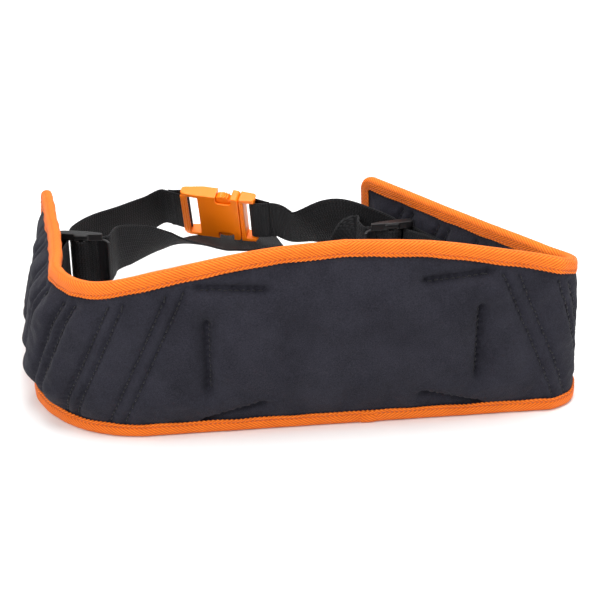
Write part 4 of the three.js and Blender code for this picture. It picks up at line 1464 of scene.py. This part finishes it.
    def tacks(self) -> None:
        """Zigzag bar tacks on the sewn loops and the tabs."""
        frame = self.buckle.frame()
        for side in Side:
            sewing = Stitcher(f"loop_tack_{side.word}", thick=0.00032, length=0.0028)
            surface = surface_of(self.made[f"strap_{side.word}_sewn_loop"])
            x = self.buckle.bar_x(side) + side.value * (0.010 if side is Side.LEFT else 0.0095)
            for face in (-1, 1):
                for k in range(46):
                    z = -0.016 + 0.032 * k / 45
                    lean = 0.0006 if k % 2 else -0.0006
                    spot, normal, _, _ = surface.find_nearest(frame @ Vector((x + lean, face * 0.003, z)))
                    ahead = frame.to_3x3() @ Vector((1.0, 0, 0.35 if k % 2 else -0.35))
                    sewing.stitch(spot, (ahead - normal * ahead.dot(normal)).normalized(), normal)
            made = sewing.piece(self.finishes.dark_thread)
            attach(made, "pad" if side is Side.LEFT else "buckle_male")
            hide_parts(f"bar_tack_{side.word}")
            lock = self.locks[side]
            sewing = Stitcher(f"tab_stitches_{side.word}", thick=0.00034, length=0.0022, pitch=0.003)
            tab = self.made[f"lock_tab_{side.word}_webbing"]
            surface = surface_of(tab)
            ends = [self.tab_places(side, lock)[i] for i in (14, 12)]
            (a, wa), (b, wb) = ends
            box = [a.lerp(b, s) + wa.lerp(wb, s) * z for s, z in
                   ((0.1, -0.016), (0.95, -0.016), (0.1, 0.016), (0.95, 0.016))]
            for i, j in ((0, 1), (1, 3), (3, 2), (2, 0), (0, 3), (1, 2)):
                sewing.run([box[i].lerp(box[j], k / 12) for k in range(13)], surface)
            made = sewing.piece(self.finishes.dark_thread)
            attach(made, f"wing_{side.word}")

    def build(self) -> None:
        """Builds all the webbing."""
        self.free_runs()
        self.wraps()
        self.loops()
        self.tabs()
        self.tacks()


# ---- Moulded parts ------------------------------------------------------------------------------------


def solid(name: str, outline: Sequence[Place], low: float, high: float,
          frame: Matrix) -> bpy.types.Object:
    """A prism from an outline in a frame's x and z, between two values of y.

    Args:
        name: The piece's name.
        outline: Its corners, in order.
        low: The lower y.
        high: The higher y.
        frame: Where it stands.

    Returns:
        The object, with its mesh in the row frame.
    """
    rings = np.array([[tuple(frame @ Vector((x, y, z))) for x, z in outline] for y in (low, high)])
    return loft(name, rings, [0.0, high - low], [0.0] * (len(outline) + 1))


def slab(x0: float, x1: float, z0: float, z1: float) -> list[Place]:
    """A rectangle's corners in x and z."""
    return [(x0, z0), (x1, z0), (x1, z1), (x0, z1)]


def softened(name: str, pieces: Sequence[bpy.types.Object], voxel: float,
             passes: int) -> bpy.types.Object:
    """Merges closed pieces into one moulding with softly rounded edges.

    Args:
        name: The new piece's name.
        pieces: Closed pieces that touch or overlap.
        voxel: The size of the remesh's cells.
        passes: How many times the surface is smoothed.

    Returns:
        The moulding.
    """
    made = joined(name, pieces)
    merge = made.modifiers.new("merge", "REMESH")
    merge.mode = "VOXEL"
    merge.voxel_size = voxel
    soften = made.modifiers.new("soften", "SMOOTH")
    soften.factor = 0.5
    soften.iterations = passes
    return settled(made)


def copy_of(node: str) -> bpy.types.Object:
    """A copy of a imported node's solid, to build on."""
    return new_object(f"{node}_blank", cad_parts[node].data.copy())


@dataclass
class LadderLocks:
    """The ladder locks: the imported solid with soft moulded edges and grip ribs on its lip."""

    locks: dict[Side, LockForm]
    finishes: Finishes
    voxel: float = 0.00042

    def build(self) -> None:
        """Builds both locks."""
        for side, lock in self.locks.items():
            frame = lock.frame()
            pieces = [copy_of(f"ladder_lock_{side.word}")]
            for k in range(3):
                x = 0.0283 + 0.0024 * k
                y = 0.0012 - 0.00055 * k * k
                pieces.append(solid("lip_rib", slab(x, x + 0.0011, -0.0165, 0.0165), y - 0.001,
                                    y + 0.0009, frame))
            for z in (-0.0225, 0.0225):
                pieces.append(solid("rail_pad", slab(0.009, 0.02, z - 0.0016, z + 0.0016), -0.0049,
                                    -0.0036, frame))
            made = softened(f"ladder_lock_{side.word}_moulding", pieces, self.voxel, 7)
            made.data.materials.append(self.finishes.lock)
            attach(made, f"adjuster_{side.word}")
            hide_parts(f"ladder_lock_{side.word}")
            log.info("%s: %d faces", made.name, len(made.data.polygons))


@dataclass
class ReleaseBuckle:
    """The side-release buckle: socket, base with its two prongs, and their moulded details."""

    form: BuckleForm
    finishes: Finishes
    voxel: float = 0.0004

    def dress(self, made: bpy.types.Object, body: str, node: str) -> None:
        """Gives a moulding its finish and ties it to the frame."""
        made.data.materials.append(self.finishes.buckle)
        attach(made, body)
        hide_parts(node)
        log.info("%s: %d faces", made.name, len(made.data.polygons))

    def cheeks(self, outline: Sequence[Place]) -> list[bpy.types.Object]:
        """A pair of side cheeks, one at each end of a webbing slot.

        Args:
            outline: A cheek's corners along the webbing and through the buckle.

        Returns:
            The two pieces.
        """
        frame = self.form.frame() @ Matrix.Rotation(math.radians(90), 4, "X")
        half = self.form.width / 2
        return [solid("cheek", outline, min(z, z + depth), max(z, z + depth), frame)
                for z, depth in ((half, -0.0032), (-half, 0.0032))]

    def socket(self) -> None:
        """The socket, whose cheeks taper to its webbing slot, with a ribbed bar before the slot."""
        frame = self.form.frame()
        pieces = [copy_of("buckle_socket")]
        pieces += self.cheeks([(-0.032, 0.006), (-0.044, 0.0056), (-0.048, 0.0044), (-0.0486, 0.002),
                               (-0.0486, -0.002), (-0.046, -0.0034), (-0.032, -0.006)])
        pieces.append(solid("front_bar", slab(-0.0486, -0.0428, -0.0205, 0.0205), -0.0055, -0.0041, frame))
        for k in range(3):
            x = -0.0482 + 0.002 * k
            pieces.append(solid("bar_rib", slab(x, x + 0.001, -0.0195, 0.0195), -0.0061, -0.005, frame))
        for face in (-1, 1):
            low, high = sorted((face * 0.0026, face * 0.0042))
            pieces.append(solid("slot_rib", slab(-0.0347, -0.0338, -0.0205, 0.0205), low, high, frame))
        self.dress(softened("buckle_socket_moulding", pieces, self.voxel, 6), "pad", "buckle_socket")

    def base(self) -> None:
        """The base, with rounded cheeks and cross ribs on both faces."""
        frame = self.form.frame()
        pieces = [copy_of("buckle_base")]
        pieces += self.cheeks([(0.0006, 0.0058), (0.0085, 0.0052), (0.0125, 0.0036), (0.0134, 0.0015),
                               (0.0134, -0.0015), (0.0125, -0.0036), (0.0085, -0.0052), (0.0006, -0.0058)])
        for face in (-1, 1):
            for k in range(2):
                x = 0.0008 + 0.0021 * k
                low, high = sorted((face * 0.0045, face * 0.0057))
                pieces.append(solid("cross_rib", slab(x, x + 0.0011, -0.0205, 0.0205), low, high, frame))
        self.dress(softened("buckle_base_moulding", pieces, self.voxel, 5), "buckle_male", "buckle_base")

    def prongs(self) -> None:
        """The two spring prongs, with grip ribs on their release buttons."""
        frame = self.form.frame()
        for word, sign in (("upper", 1), ("lower", -1)):
            pieces = [copy_of(f"prong_{word}")]
            for k in range(4):
                x = -0.0157 + 0.0021 * k
                low, high = sorted((sign * 0.0195, sign * (0.0224 if k in (1, 2) else 0.0219)))
                pieces.append(solid("grip", slab(x, x + 0.0009, low, high), -0.0031, 0.0031, frame))
            made = softened(f"prong_{word}_moulding", pieces, self.voxel, 3)
            self.dress(made, f"prong_{word}", f"prong_{word}")

    def build(self) -> None:
        """Builds the whole buckle."""
        self.socket()
        self.base()
        self.prongs()


# ---- Studio -------------------------------------------------------------------------------------------


@dataclass
class Studio:
    """The floor, the soft lights and the camera."""

    form: BeltForm
    camera_at: tuple[float, float, float] = (-0.1307, -0.8083, 0.5134)
    right: tuple[float, float, float] = (0.9923, -0.1236, 0.0)
    ahead: tuple[float, float, float] = (0.1101, 0.8842, -0.454)
    lens: float = 84.0
    floor_half: float = 3.0

    def floor(self) -> None:
        """A pale floor that curves up behind the belt."""
        mesh = bpy.data.meshes.new("floor")
        w = self.floor_half
        rows = [(-2.0, 0.0), (1.6, 0.0)] + [
            (1.6 + 0.8 * math.sin(k * math.pi / 20), 0.8 - 0.8 * math.cos(k * math.pi / 20))
            for k in range(1, 11)] + [(2.4, 3.2)]
        verts = [(x, y, z) for y, z in rows for x in (-w, w)]
        faces = [(2 * k, 2 * k + 1, 2 * k + 3, 2 * k + 2) for k in range(len(rows) - 1)]
        mesh.from_pydata(verts, [], faces)
        piece = new_object("floor", mesh)
        piece.data.materials.append(PaleFloor().material())

    def light(self, name: str, at: Sequence[float], size: float, power: float) -> None:
        """A square soft light that faces the belt.

        Args:
            name: Its name.
            at: Its place.
            size: Its side.
            power: Its power in watts.
        """
        lamp = bpy.data.lights.new(name, "AREA")
        lamp.shape = "SQUARE"
        lamp.size = size
        lamp.energy = power
        made = bpy.data.objects.new(name, lamp)
        bpy.context.scene.collection.objects.link(made)
        made.location = at
        made.rotation_euler = (Vector((0, 0, 0.05)) - Vector(at)).to_track_quat("-Z", "Y").to_euler()

    def camera(self) -> None:
        """The camera, at the viewing angle of a product shot."""
        lens = bpy.data.cameras.new("camera")
        lens.lens = self.lens
        lens.sensor_width = 36.0
        lens.clip_start = 0.01
        lens.clip_end = 50.0
        made = bpy.data.objects.new("camera", lens)
        bpy.context.scene.collection.objects.link(made)
        right = Vector(self.right).normalized()
        ahead = Vector(self.ahead).normalized()
        up = right.cross(ahead)
        turn = Matrix((right, up, -ahead)).transposed()
        made.matrix_world = Matrix.Translation(self.form.origin + Vector(self.camera_at)) @ turn.to_4x4()
        bpy.context.scene.camera = made

    def build(self) -> None:
        """Builds the studio."""
        self.floor()
        self.light("top_light", (0.1, 0.15, 1.6), 1.3, 32.0)
        self.light("front_light", (-0.9, -1.2, 1.3), 0.7, 16.0)
        self.light("side_light", (1.5, -0.5, 0.8), 1.0, 7.0)
        world = bpy.data.worlds.new("studio")
        world.use_nodes = True
        world.node_tree.nodes["Background"].inputs[0].default_value = (1.0, 1.0, 1.0, 1.0)
        world.node_tree.nodes["Background"].inputs[1].default_value = 0.55
        bpy.context.scene.world = world
        bpy.context.scene.view_settings.view_transform = "Standard"
        self.camera()


def main() -> None:
    """Builds the belt in order."""
    logging.basicConfig(level=logging.INFO, format="%(name)s: %(message)s")
    form = BeltForm()
    finishes = Finishes()
    Studio(form).build()
    body = PaddedBody(form, Quilting(), finishes)
    body.build()
    QuiltStitches(form, body, finishes).build()
    EdgeBinding(form, finishes).build()
    locks = {side: LockForm(side, form) for side in Side}
    buckle = BuckleForm(form)
    Straps(form, buckle, locks, finishes).build()
    LadderLocks(locks, finishes).build()
    ReleaseBuckle(buckle, finishes).build()


if __name__ == "__main__":
    main()
